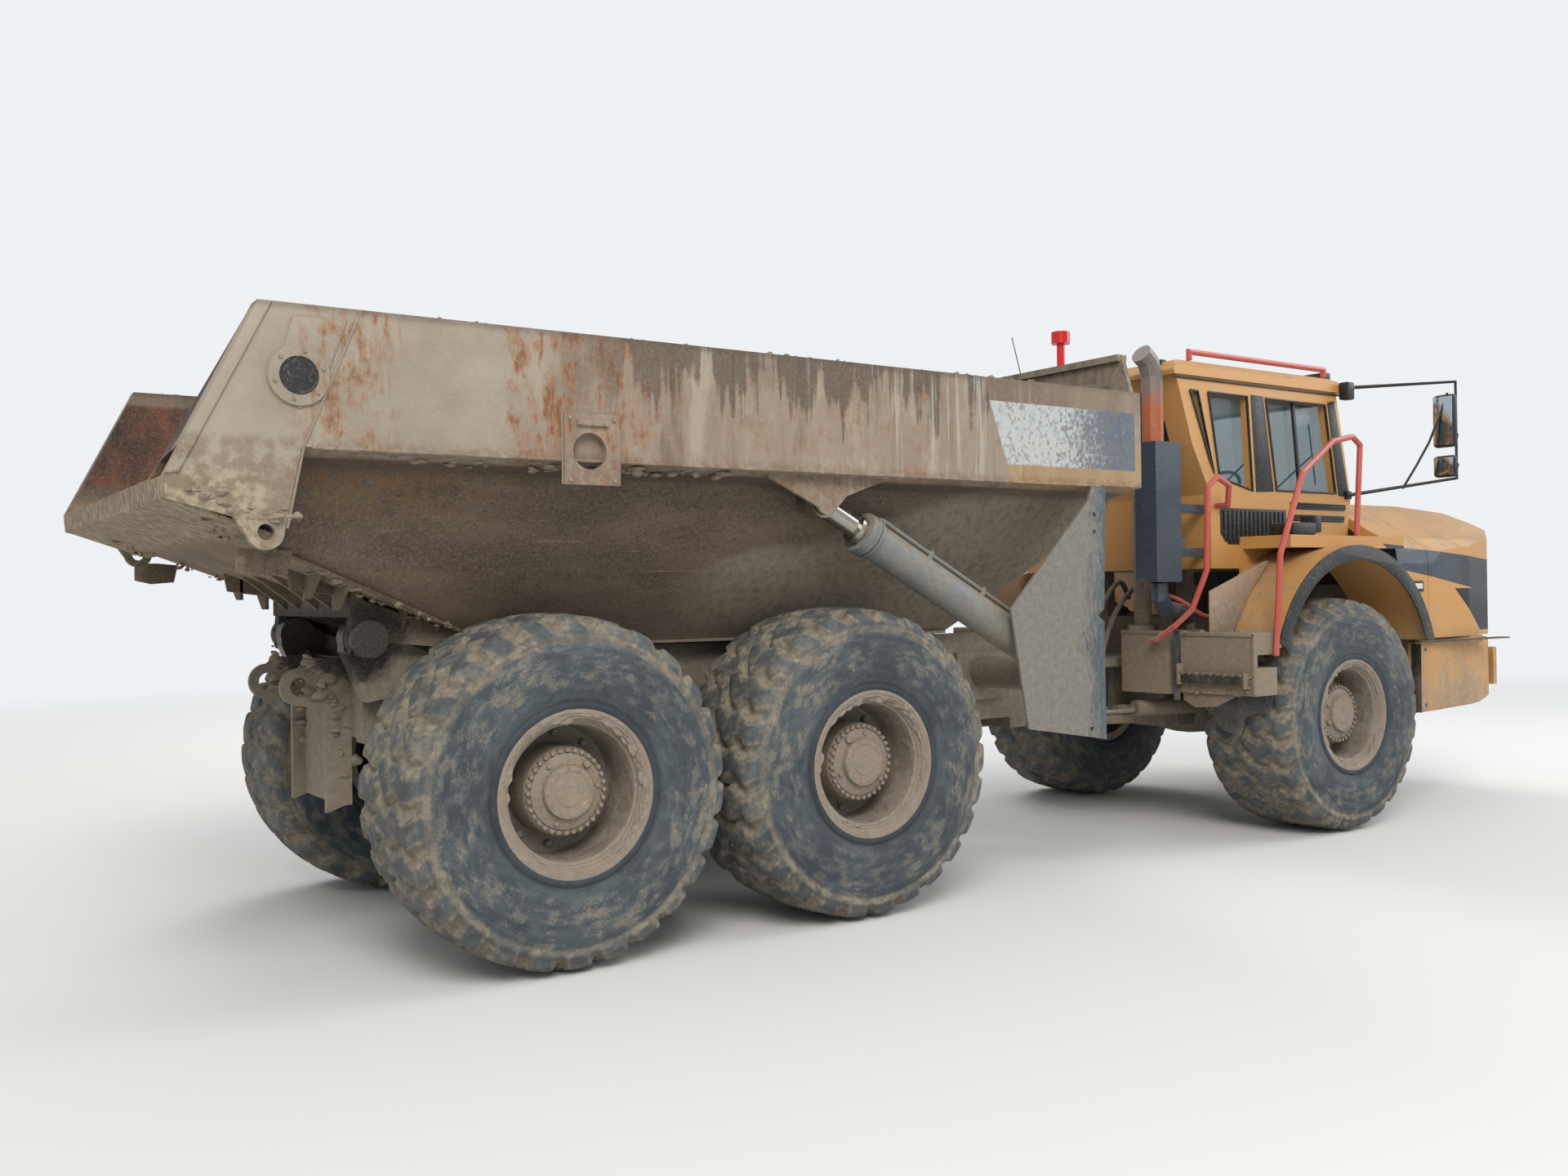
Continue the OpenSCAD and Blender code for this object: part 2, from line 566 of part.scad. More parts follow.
module steer_rod(s) color("silver") at_steer(s) {
    translate([0, 0, 385]) cylinder(r = 32, h = steer_len - 385);
    translate([0, 0, steer_len]) rotate([0, 90, 0]) translate([0, 0, -steer_eye_h / 2])
        cylinder(r = 48, h = steer_eye_h);
}

// Rear frame: rails, cross members, roll bearing neck, hinge brackets, cylinder feet and tow bracket
rail_front_x = 200;
rail_rear_x = hinge_x + 30;
tip_run = [cos(tip_slope), -sin(tip_slope)];
tip_foot_x = tip_eye_x + tip_len * cos(tip_slope);
tip_foot_z = tip_eye_z - tip_len * sin(tip_slope);
tip_pin_r = 60;
bogie_x = (middle_axle_x + rear_axle_x) / 2;
bogie_z = 1050;
bogie_pin_r = 70;
beam_y = 560;
beam_t = 110;
hinge_plate_y = rear_rail_y + rail_t;
hinge_ear_y = hinge_plate_y + 106;
hinge_ear_t = 84;
module rear_frame() color(dust) {
    y1 = rear_rail_y + rail_t;
    both() side_plate([[rail_rear_x, 1000], [rail_rear_x, rear_frame_top], [rail_front_x, rear_frame_top],
        [rail_front_x, rear_frame_low - 60], [-200, rear_frame_low - 60], [-500, rear_frame_low],
        [rail_rear_x + 400, rear_frame_low]], rear_rail_y, y1);
    block(60, rail_front_x, -y1, y1, 800, rear_frame_top - 60);
    translate([0, 0, 800]) linear_extrude(310)
        polygon([[190, 480], [420, 190], [420, -190], [190, -480]]);
    difference() {
        rod_x(0, roll_z, 200, 180, hitch_flange_x - seat);
        rod_x(0, roll_z, spigot_r + seat, hitch_flange_x - 281, hitch_flange_x);
    }
    for (x = [-900, -2500, rail_rear_x]) block(x, x + 80, -rear_rail_y - 1, rear_rail_y + 1, 1020, 1400);
    both() {
        rod_y(bogie_x, bogie_z, bogie_pin_r, y1 - 1, beam_y + beam_t + 30);
        rod_y(tip_foot_x, tip_foot_z, tip_pin_r, y1 - 1, tip_y + tip_barrel_r + 22);
        rod_y(tip_foot_x, tip_foot_z, 100, y1 - 1, tip_y - tip_barrel_r - 8);
        rod_y(tip_foot_x, tip_foot_z, 85, tip_y + tip_barrel_r + 6, tip_y + tip_barrel_r + 22);
        side_plate([[tip_foot_x - 200, 1000], [tip_foot_x - 200, 1300], [tip_foot_x + 200, 1300],
            [tip_foot_x + 200, 1000]], y1 - 1, y1 + 40);
        side_plate([[hinge_x + 330, 1250], [hinge_x + 330, rear_frame_top], [hinge_x + 85, hinge_z + 30],
            [hinge_x - 85, hinge_z + 30], [hinge_x - 85, hinge_z - 60], [hinge_x + 20, 1200]],
            hinge_plate_y - 1, hinge_ear_y - 6);
        rod_y(hinge_x, hinge_z, 90, hinge_plate_y - 1, hinge_ear_y - 6);
        rod_y(hinge_x, hinge_z, hinge_r, hinge_plate_y, hinge_ear_y + hinge_ear_t + 30);
        rod_y(hinge_x, hinge_z, 88, hinge_ear_y + hinge_ear_t + 6, hinge_ear_y + hinge_ear_t + 30);
    }
    tow_bracket();
}
module tow_bracket() {
    x1 = rail_rear_x;
    difference() {
        both() union() {
            side_plate([[x1 + 1, 1400], [x1 + 1, 700], [x1 - 120, 660], [x1 - 120, 1150], [x1 - 240, 1180],
                [x1 - 240, 1360], [x1 - 120, 1400]], 280, 320);
            rod_y(x1 - 240, 1270, 90, 280, 320);
        }
        rod_y(x1 - 240, 1270, 45, -400, 400);
    }
    block(x1 - 60, x1 + 1, -320, 320, 690, 1390);
}
module bogie_beams() color(dust) both() {
    difference() {
        side_plate([[rear_axle_x - 130, 1030], [rear_axle_x - 130, 1090], [bogie_x - 280, 1190],
            [bogie_x + 280, 1190], [middle_axle_x + 130, 1090], [middle_axle_x + 130, 1030],
            [bogie_x + 280, 900], [bogie_x - 280, 900]], beam_y, beam_y + beam_t);
        rod_y(bogie_x, bogie_z, bogie_pin_r + seat, beam_y - 1, beam_y + beam_t + 1);
    }
    for (x = [middle_axle_x, rear_axle_x]) difference() {
        block(x - 100, x + 100, beam_y - 40, beam_y + beam_t + 40, 880, 1031);
        rod_y(x, tyre_r, axle_tube_r + seat, beam_y - 41, beam_y + beam_t + 41);
    }
}

// Bed: section across and outline along, then what is welded to it
tub_knee = [bed_hw - 250, rail_low - 55];
tub_foot = [floor_hw, floor_z];
tub_run = tub_foot - tub_knee;
tub_out = [-tub_run[1], tub_run[0]] / norm(tub_run);
side_curve = [for (t = [0 : 0.125 : 1]) tub_knee + tub_run * t + tub_out * tub_bulge * sin(180 * t)];
tub_half = concat([[bed_hw, rail_top], [bed_hw, rail_low]], side_curve);
room_half = concat([[load_hw, rail_top + 50], [load_hw, rail_top - 60]],
    [for (p = side_curve) p - tub_out * tub_t + (p == tub_foot ? [0, tub_t] : [0, 0])]);
tail_top = -4803;
lip_z = 2163;
tail_lip_low = 2071;
tail_start = -3500;
slope_x = -4760;
slope_top = 1935;
lug_x = -4780;
lug_z = 1950;
bed_outline = [[tail_top, rail_top], [tail_x, lip_z], [tail_x + 8, tail_lip_low], [slope_x, slope_top],
    [tail_start, floor_z], [-600, floor_z], [bed_front, 2200], [bed_front, rail_top]];
room_outline = [[tail_top - 60, rail_top + 50], [tail_x - 80, lip_z + 60], [tail_x - 80, lip_z + 22],
    [tail_x + 30, lip_z - 4], [tail_start + 8, floor_z + tub_t], [-612, floor_z + tub_t],
    [bed_front - front_t, 2210], [bed_front - front_t, rail_top + 50]];
module dump_body() color(brown) {
    difference() {
        union() {
            intersection() {
                cross_bar(mirrored(tub_half), tail_x, bed_front);
                side_plate(bed_outline, -bed_hw, bed_hw);
            }
            tail_sides();
        }
        intersection() {
            cross_bar(mirrored(room_half), tail_x - 100, bed_front);
            side_plate(room_outline, -bed_hw, bed_hw);
        }
        both() rod_y(lug_x, lug_z, lug_bore_r, bed_hw - 60, bed_hw + 20);
        both() rod_y(-3390, 2330, bracket_bore_r, bed_hw - 30, bed_hw + 30);
    }
    both() {
        tip_clevis();
        hinge_ear();
    }
    tail_beam();
}
module tail_sides() both() {
    side_plate([[-4410, 2830], [tail_top, rail_top], [tail_x, lip_z], [tail_x + 8, tail_lip_low],
        [lug_x - 120, 2010], [lug_x - 50, lug_z - 45], [lug_x, lug_z - 70], [lug_x + 55, lug_z - 45],
        [lug_x + 70, lug_z], [-4640, 2292]],
        bed_hw - 42, bed_hw);
    rod_y(lug_x, lug_z, 70, bed_hw - 42, bed_hw);
    rod_y(-4650, 2570, 120, bed_hw - 1, bed_hw + 12);
    side_plate([[-3515, 2180], [-3515, 2500], [-3240, 2500], [-3240, 2180]], bed_hw - 16, bed_hw + 14);
}
clevis_gap = 72;
module tip_clevis() for (y = [tip_y - clevis_gap - 22, tip_y + clevis_gap]) {
    side_plate([[-2380, rail_low - 30], [-2380, rail_low + 5], [-1670, rail_low + 5], [-1670, rail_low - 30],
        [-1900, 2180], [tip_eye_x + 60, tip_eye_z - 30], [tip_eye_x - 60, tip_eye_z - 30]], y, y + 22);
    rod_y(tip_eye_x, tip_eye_z, 68, y, y + 22);
}
module hinge_ear() difference() {
    union() {
        side_plate([[hinge_x - 80, hinge_z], [hinge_x - 60, 1690], [hinge_x + 660, 1440],
            [hinge_x + 500, 1436], [hinge_x + 80, hinge_z - 20]], hinge_ear_y, hinge_ear_y + hinge_ear_t);
        rod_y(hinge_x, hinge_z, 88, hinge_ear_y, hinge_ear_y + hinge_ear_t);
    }
    rod_y(hinge_x, hinge_z, hinge_r + seat, hinge_ear_y - 1, hinge_ear_y + hinge_ear_t + 1);
}
tail_beam_y = hinge_ear_y + hinge_ear_t;
module tail_beam() intersection() {
    union() {
        block(-4230, -4170, -tail_beam_y, tail_beam_y, 1600, 1900);
        block(-3900, -3860, -tail_beam_y, tail_beam_y, 1480, 1700);
        both() for (y = [150, 400]) side_plate([[-4450, 1800], [-4200, 1610], [-3860, 1500],
            [-3560, 1440], [-3560, 1500], [-4450, 1850]], y, y + 24);
    }
    side_plate([[-4700, 1400], [-3480, 1400], [tail_start, floor_z + 2], [-4700, 1911]], -900, 900);
}
module headboard() color(dust) {
    cross_bar([[-1400, rail_top + seat], [-1330, rail_top + headboard_h], [1330, rail_top + headboard_h],
        [1400, rail_top + seat]], bed_front - 30, bed_front);
    block(bed_front - 60, bed_front + 20, -1330, 1330, rail_top + headboard_h - 40, rail_top + headboard_h);
}
mud_t = 16;
mud_top = rail_low - mud_t * (rail_low - tub_knee[1]) / (bed_hw - tub_knee[0]) - seat;
module mud_plates() color(steel) both() difference() {
    side_plate([[-825, 1586], [-203, rail_low - 90], [-180, mud_top], [-60, mud_top],
        [-85, 1570], [-140, 1535], [-85, 1500], [-78, 813], [-700, 911]], bed_hw - mud_t, bed_hw);
    for (p = [[-160, 2120], [-160, 2020], [-200, 880]]) rod_y(p[0], p[1], 14, bed_hw - 20, bed_hw + 4);
}

// Tipping cylinders: two-stage, foot on the rear frame, eye in the bed's clevis
module at_tip(s) {
    translate([tip_foot_x, s * tip_y, tip_foot_z]) rotate([0, tip_slope - 90, 0]) children();
}
barrel_len = 1745;
stage_len = 1790;
module tip_barrel(s) color(dust) at_tip(s) {
    difference() {
        union() {
            translate([0, 0, 66]) cylinder(r = tip_barrel_r, h = barrel_len - 66);
            translate([0, 0, barrel_len - 60]) cylinder(r = tip_barrel_r + 14, h = 60);
            rotate([90, 0, 0]) translate([0, 0, -65]) cylinder(r = 110, h = 130);
        }
        translate([0, 0, 140]) cylinder(r = tip_stage_r + seat, h = 2000);
        rotate([90, 0, 0]) translate([0, 0, -110]) cylinder(r = tip_pin_r + seat, h = 220);
    }
}
module tip_stage(s) color("silver") at_tip(s) difference() {
    translate([0, 0, 150]) cylinder(r = tip_stage_r, h = stage_len - 150);
    translate([0, 0, 190]) cylinder(r = tip_rod_r + seat, h = 2000);
}
module tip_rod(s) color("silver") at_tip(s) {
    translate([0, 0, 210]) cylinder(r = tip_rod_r, h = tip_len - 260);
    translate([0, 0, tip_len]) rotate([90, 0, 0]) difference() {
        translate([0, 0, -62]) cylinder(r = 82, h = 124);
        translate([0, 0, -63]) cylinder(r = 40, h = 126);
    }
}

front_frame();
powertrain();
front_axle();
front_bumper();
front_fenders();
cowl();
cab_shell();
cab_roof();
cab_glass();
cab_seat();
cab_console();
mirrors();
handrails();
exhaust();
side_tanks();
step_boxes();
filler_pipes();
beacon();
hood();
hood_grille();
head_lamps();
cab_door();
door_glass();
hitch_ring();
rear_frame();
bogie_beams();
rear_axles();
dump_body();
headboard();
mud_plates();
steer_barrel(-1);  // steer_barrel_r
steer_barrel(1);  // steer_barrel_l
steer_rod(-1);  // steer_rod_r
steer_rod(1);  // steer_rod_l
tip_barrel(-1);  // tip_barrel_r
tip_barrel(1);  // tip_barrel_l
tip_stage(-1);  // tip_stage_r
tip_stage(1);  // tip_stage_l
tip_rod(-1);  // tip_rod_r
tip_rod(1);  // tip_rod_l
tyre(0);  // tyre_fr
tyre(1);  // tyre_fl
tyre(2);  // tyre_mr
tyre(3);  // tyre_ml
tyre(4);  // tyre_rr
tyre(5);  // tyre_rl
rim(0);  // rim_fr
rim(1);  // rim_fl
rim(2);  // rim_mr
rim(3);  // rim_ml
rim(4);  // rim_rr
rim(5);  // rim_rl
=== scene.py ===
"""Looks of the articulated six-wheel dump truck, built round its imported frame. All sizes are in metres."""
import logging
import math
import random
from dataclasses import dataclass
from enum import Enum
from typing import Any, Sequence

import bpy
from mathutils import Matrix, Vector


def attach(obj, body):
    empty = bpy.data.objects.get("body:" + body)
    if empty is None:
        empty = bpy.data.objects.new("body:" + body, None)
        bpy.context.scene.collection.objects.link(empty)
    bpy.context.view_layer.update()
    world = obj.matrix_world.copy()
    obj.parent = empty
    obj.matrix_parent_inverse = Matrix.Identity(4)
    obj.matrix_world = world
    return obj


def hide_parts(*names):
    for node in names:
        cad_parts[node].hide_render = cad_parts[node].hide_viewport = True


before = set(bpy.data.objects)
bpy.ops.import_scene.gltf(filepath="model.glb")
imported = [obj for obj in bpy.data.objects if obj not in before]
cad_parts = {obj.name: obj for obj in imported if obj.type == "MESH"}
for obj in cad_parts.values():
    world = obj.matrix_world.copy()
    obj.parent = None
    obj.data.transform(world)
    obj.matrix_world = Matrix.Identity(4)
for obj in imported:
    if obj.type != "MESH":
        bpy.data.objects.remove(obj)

LOG = logging.getLogger("truck")
Point = tuple[float, float, float]
Pair = tuple[float, float]
Colour = tuple[float, float, float, float]

# Where the wheels' axes and the bed's hinge lie
AXLE_X = (2.3845, -1.7885, -3.4585)
AXLE_Z = 0.805
HUB_Y = 1.108
HINGE: Pair = (-4.150, 1.500)


def linear(code: str) -> Colour:
    """Turns a screen colour into the linear colour that a shader takes.

    Args:
        code: six hex digits after a hash sign.
    Returns:
        Red, green, blue and alpha, from 0 to 1.
    """
    parts = [int(code[i:i + 2], 16) / 255 for i in (1, 3, 5)]
    red, green, blue = (c / 12.92 if c < 0.04045 else ((c + 0.055) / 1.055) ** 2.4 for c in parts)
    return red, green, blue, 1.0


def arc(centre: Pair, r: float, angles: Sequence[float]) -> list[Pair]:
    """Places points on a circle.

    Args:
        centre: the circle's middle.
        r: its radius.
        angles: where the points lie, in radians.
    Returns:
        The points.
    """
    return [(centre[0] + r * math.cos(a), centre[1] + r * math.sin(a)) for a in angles]


# ---- shader maths -------------------------------------------------------------------------------
class Sock:
    """A number that a shader works out, which Python's operators turn into Math nodes."""

    def __init__(self, graph: "Graph", out: bpy.types.NodeSocket) -> None:
        """Keeps the socket and its graph."""
        self.graph = graph
        self.out = out

    def _math(self, operation: str, first: Any, second: Any, clamp: bool = False) -> "Sock":
        """Adds one Math node.

        Args:
            operation: the node's operation.
            first: its first value or socket.
            second: its second value or socket.
            clamp: holds the result between 0 and 1.
        Returns:
            The node's result.
        """
        node = self.graph.node("ShaderNodeMath", {"operation": operation, "use_clamp": clamp},
                               {0: first, 1: second})
        return Sock(self.graph, node.outputs[0])

    def __add__(self, other: Any) -> "Sock":
        """self + other."""
        return self._math("ADD", self, other)

    def __radd__(self, other: Any) -> "Sock":
        """other + self."""
        return self._math("ADD", other, self)

    def __sub__(self, other: Any) -> "Sock":
        """self - other."""
        return self._math("SUBTRACT", self, other)

    def __rsub__(self, other: Any) -> "Sock":
        """other - self."""
        return self._math("SUBTRACT", other, self)

    def __mul__(self, other: Any) -> "Sock":
        """self * other."""
        return self._math("MULTIPLY", self, other)

    def __rmul__(self, other: Any) -> "Sock":
        """other * self."""
        return self._math("MULTIPLY", other, self)

    def __truediv__(self, other: Any) -> "Sock":
        """self / other."""
        return self._math("DIVIDE", self, other)

    def __pow__(self, other: Any) -> "Sock":
        """self ** other."""
        return self._math("POWER", self, other)

    def __abs__(self) -> "Sock":
        """abs(self)."""
        return self._math("ABSOLUTE", self, 0)

    def clip(self) -> "Sock":
        """Holds the value between 0 and 1."""
        return self._math("ADD", self, 0, True)

    def most(self, other: Any) -> "Sock":
        """The larger of two values."""
        return self._math("MAXIMUM", self, other)

    def step(self, low: float, high: float) -> "Sock":
        """A smooth step.

        Args:
            low: the value at which the step is 0.
            high: the value at which it is 1; it may be the lower of the two.
        Returns:
            The step, from 0 to 1.
        """
        falls = high < low
        node = self.graph.node("ShaderNodeMapRange", {"interpolation_type": "SMOOTHSTEP"},
                               {"Value": self, "From Min": min(low, high), "From Max": max(low, high)})
        rise = Sock(self.graph, node.outputs[0])
        return 1 - rise if falls else rise


class Tree:
    """The node tree of a material or of the world."""

    def __init__(self, owner: bpy.types.Material | bpy.types.World) -> None:
        """Starts with no nodes."""
        owner.use_nodes = True
        self.tree = owner.node_tree
        self.tree.nodes.clear()

    def node(self, kind: str, settings: dict[str, Any] | None = None,
             values: dict[Any, Any] | None = None) -> bpy.types.Node:
        """Adds any node, its settings first.

        Args:
            kind: Blender's name of the node's type.
            settings: properties of the node, such as its operation.
            values: numbers, colours or links for its sockets, by name or place.
        Returns:
            The node.
        """
        node = self.tree.nodes.new(kind)
        for key, value in (settings or {}).items():
            setattr(node, key, value)
        for key, value in (values or {}).items():
            source = value.out if isinstance(value, Sock) else value
            if isinstance(source, bpy.types.NodeSocket):
                self.tree.links.new(source, node.inputs[key])
            else:
                node.inputs[key].default_value = source
        return node


class Graph(Tree):
    """The node tree of one material, with the textures that its finishes share."""

    def __init__(self, name: str) -> None:
        """Starts an empty material of that name."""
        self.material = bpy.data.materials.new(name)
        super().__init__(self.material)
        self.place = self.node("ShaderNodeTexCoord")
        split = self.node("ShaderNodeSeparateXYZ", {}, {0: self.place.outputs["Object"]})
        self.x, self.y, self.z = (Sock(self, out) for out in split.outputs)
        facing = self.node("ShaderNodeSeparateXYZ", {}, {0: self.place.outputs["Normal"]})
        self.up = Sock(self, facing.outputs[2])

    def noise(self, scale: float, stretch: Point = (1, 1, 1), detail: float = 6, seed: float = 0,
              place: bpy.types.NodeSocket | None = None) -> Sock:
        """A fractal noise on the piece's own coordinates, from 0 to 1.

        Args:
            scale: waves per metre.
            stretch: how much denser it is along each axis.
            detail: the number of finer octaves.
            seed: a shift that makes another pattern.
            place: other coordinates to use, or nothing.
        Returns:
            The noise.
        """
        spot = self.node("ShaderNodeVectorMath", {"operation": "MULTIPLY_ADD"},
                         {0: place or self.place.outputs["Object"], 1: stretch, 2: (seed, seed * 1.7, seed * 0.6)})
        noise = self.node("ShaderNodeTexNoise", {}, {"Vector": spot.outputs[0], "Scale": scale,
                                                     "Detail": detail, "Roughness": 0.62})
        return Sock(self, noise.outputs[0])

    def cells(self, scale: float, seed: float = 0) -> Sock:
        """Distance to the nearest of many scattered points.

        Args:
            scale: points per metre.
            seed: a shift that makes another pattern.
        Returns:
            The distance, in cells.
        """
        spot = self.node("ShaderNodeVectorMath", {"operation": "ADD"},
                         {0: self.place.outputs["Object"], 1: (seed, seed, seed)})
        cells = self.node("ShaderNodeTexVoronoi", {}, {"Vector": spot.outputs[0], "Scale": scale})
        return Sock(self, cells.outputs["Distance"])

    def attribute(self, name: str) -> Sock:
        """A number that the piece's mesh carries."""
        node = self.node("ShaderNodeAttribute", {"attribute_name": name})
        return Sock(self, node.outputs["Fac"])

    def blend(self, share: Any, first: Any, second: Any) -> bpy.types.NodeSocket:
        """Mixes two colours.

        Args:
            share: how much of the second colour, from 0 to 1.
            first: a colour's socket, or its code.
            second: the same.
        Returns:
            The mixed colour's socket.
        """
        first, second = (linear(tone) if isinstance(tone, str) else tone for tone in (first, second))
        node = self.node("ShaderNodeMix", {"data_type": "RGBA"}, {0: share, 6: first, 7: second})
        return node.outputs[2]

    def coats(self, colour: Any, *layers: tuple[Any, Any]) -> Any:
        """Lays colours over one another.

        Args:
            colour: the lowest one.
            layers: how much of each next one lies at each place, and its colour.
        Returns:
            The mixed colour's socket.
        """
        for share, tone in layers:
            colour = self.blend(share, colour, tone)
        return colour

    def finish(self, colour: Any, rough: Any, metal: Any = 0.0, height: Sock | None = None,
               depth: float = 0.003, extra: dict[str, Any] | None = None,
               shown: tuple[Sock, bpy.types.NodeSocket] | None = None) -> bpy.types.Material:
        """Ends the material with its surface shader.

        Args:
            colour: the base colour.
            rough: the roughness.
            metal: the share of bare metal.
            height: a relief from 0 to 1, or nothing.
            depth: the height of that relief in metres.
            extra: constant values of other sockets.
            shown: a share and a shader that covers that share, or nothing.
        Returns:
            The finished material.
        """
        values: dict[Any, Any] = {"Base Color": colour, "Roughness": rough, "Metallic": metal}
        if height is not None:
            bump = self.node("ShaderNodeBump", {}, {"Height": height, "Distance": depth, "Strength": 0.9})
            values["Normal"] = bump.outputs[0]
        values.update(extra or {})
        surface = self.node("ShaderNodeBsdfPrincipled", {}, values).outputs[0]
        if shown:
            surface = self.node("ShaderNodeMixShader", {}, {0: shown[0], 1: surface, 2: shown[1]}).outputs[0]
        self.node("ShaderNodeOutputMaterial", {}, {0: surface})
        return self.material


# ---- finishes -----------------------------------------------------------------------------------
@dataclass(frozen=True)
class Weathered:
    """Paint or bare metal under dust, mud, drips and rust."""

    name: str
    paint: str
    fade: str = "#a3907a"
    dust: str = "#93897b"
    rust: str = "#7d4a2c"
    dust_share: float = 0.5
    rust_share: float = 0.2
    low_dust: float = 0.3
    gloss: float = 0.42
    metal: float = 0.0
    relief: float = 0.002

    def base(self, g: Graph) -> Any:
        """The paint before any dirt lies on it."""
        return g.blend(g.noise(0.9, seed=5).step(0.35, 0.75) * 0.5, self.paint, self.fade)

    def cover(self, g: Graph) -> Sock:
        """How much dust lies at each place."""
        drips = g.noise(1, (7, 7, 0.8), seed=2)
        cloud = g.noise(2.2, seed=1) * 0.55 + g.noise(14, seed=3) * 0.25 + drips * 0.35
        settled = g.up.step(0.2, 0.9) * 0.22 + g.z.step(2.2, 0.6) * self.low_dust
        return (cloud + settled + (self.dust_share - 0.5)).step(0.42, 0.78)

    def build(self) -> bpy.types.Material:
        """Makes the material.

        Returns:
            The material.
        """
        g = Graph(self.name)
        dust = self.cover(g)
        grit = g.noise(95, detail=4, seed=9)
        clumps = g.noise(26, seed=4)
        rust = (g.noise(3.2, (1.2, 1.2, 0.7), seed=7) * 0.7 + clumps * 0.3).step(
            0.72 - self.rust_share * 0.5, 0.80 - self.rust_share * 0.4)
        dirt = g.blend(clumps.step(0.3, 0.75), self.dust, "#786d5e")
        colour = g.coats(self.base(g), (dust * 0.92, dirt), (rust * (0.35 + clumps * 0.9).clip(), self.rust),
                         (g.cells(70, 3).step(0.16, 0.08) * 0.40, "#4a4237"), (grit.step(0.5, 0.8) * 0.30, "#b3a999"))
        rough = self.gloss + (0.93 - self.gloss) * (dust * 0.85 + rust).clip()
        height = grit * 0.4 + dust * 0.5 + clumps * dust * 0.6 + rust * 0.5
        metal = self.metal * (1 - (dust + rust).clip()) if self.metal else 0.0
        return g.finish(colour, rough, metal, height, self.relief)

    @staticmethod
    def away(g: Graph, spot: Pair) -> Sock:
        """How far each place is from a line across the truck."""
        x, z = g.x - spot[0], g.z - spot[1]
        return (x * x + z * z) ** 0.5


@dataclass(frozen=True)
class NosePaint(Weathered):
    """The ochre paint with the dark, blank stripe that runs along the bonnet's sides."""

    stripe: str = "#2f3a45"

    def base(self, g: Graph) -> Any:
        """The paint and the stripe, before any dirt lies on them."""
        paint = super().base(g)
        top = 2.166 - g.x * 0.0592
        low = (2.24 - g.x * 0.1328).most(3.70 - g.x * 0.576)
        inside = (top - g.z).step(-0.002, 0.002) * (g.z - low).step(-0.002, 0.002) * abs(g.y).step(0.96, 0.98)
        inside = inside * g.x.step(2.96, 2.97) * g.x.step(4.86, 4.85)
        flakes = g.noise(7, (1, 1, 2), seed=33).step(0.58, 0.66)
        mesh = g.x.step(4.10, 4.16) * (g.cells(60, 2).step(0.42, 0.5) * 0.6)
        dark = g.blend(flakes * 0.35, self.stripe, "#5b6269")
        return g.blend(inside, paint, g.blend(mesh, dark, "#15191e"))


@dataclass(frozen=True)
class HeadSkin(Weathered):
    """The headboard: mottled mud, with yellow paint left along its top edge."""

    def base(self, g: Graph) -> Any:
        """Mud below and paint above."""
        mud = g.blend(g.noise(18, seed=31).step(0.45, 0.62), "#857866", "#574c43")
        edge = (g.z + (g.noise(9, seed=32) - 0.5) * 0.05).step(3.135, 3.150)
        return g.blend(edge, mud, self.paint)

    def cover(self, g: Graph) -> Sock:
        """Dust lies on all but the top edge."""
        return super().cover(g) * (0.75 - g.z.step(3.12, 3.16) * 0.5)


@dataclass(frozen=True)
class StackSkin(Weathered):
    """The exhaust: blue-grey shield, and a pipe that heat has turned orange low down and grey higher up."""

    def base(self, g: Graph) -> Any:
        """The paint, and the pipe's heat marks."""
        hot = (g.z + (g.noise(6, seed=3) - 0.5) * 0.35)
        pipe = g.coats("#a3562f", (hot.step(2.85, 3.15), "#6f6864"),
                       (g.noise(30, seed=8).step(0.5, 0.7) * 0.4, "#7d4a33"))
        return g.blend(g.z.step(2.668, 2.674), super().base(g), pipe)


@dataclass(frozen=True)
class Cloth:
    """Woven seat fabric, dark grey, worn and dusty."""

    name: str

    def build(self) -> bpy.types.Material:
        """Makes the material.

        Returns:
            The material.
        """
        g = Graph(self.name)
        weave = g.noise(1, (420, 900, 420), detail=2, seed=1)
        worn = g.noise(6, seed=2).step(0.4, 0.7)
        colour = g.coats("#2a2c30", (worn * 0.5, "#5a554c"), (weave.step(0.4, 0.6) * 0.4, "#44464a"))
        return g.finish(colour, 0.92, 0.0, weave, 0.001)


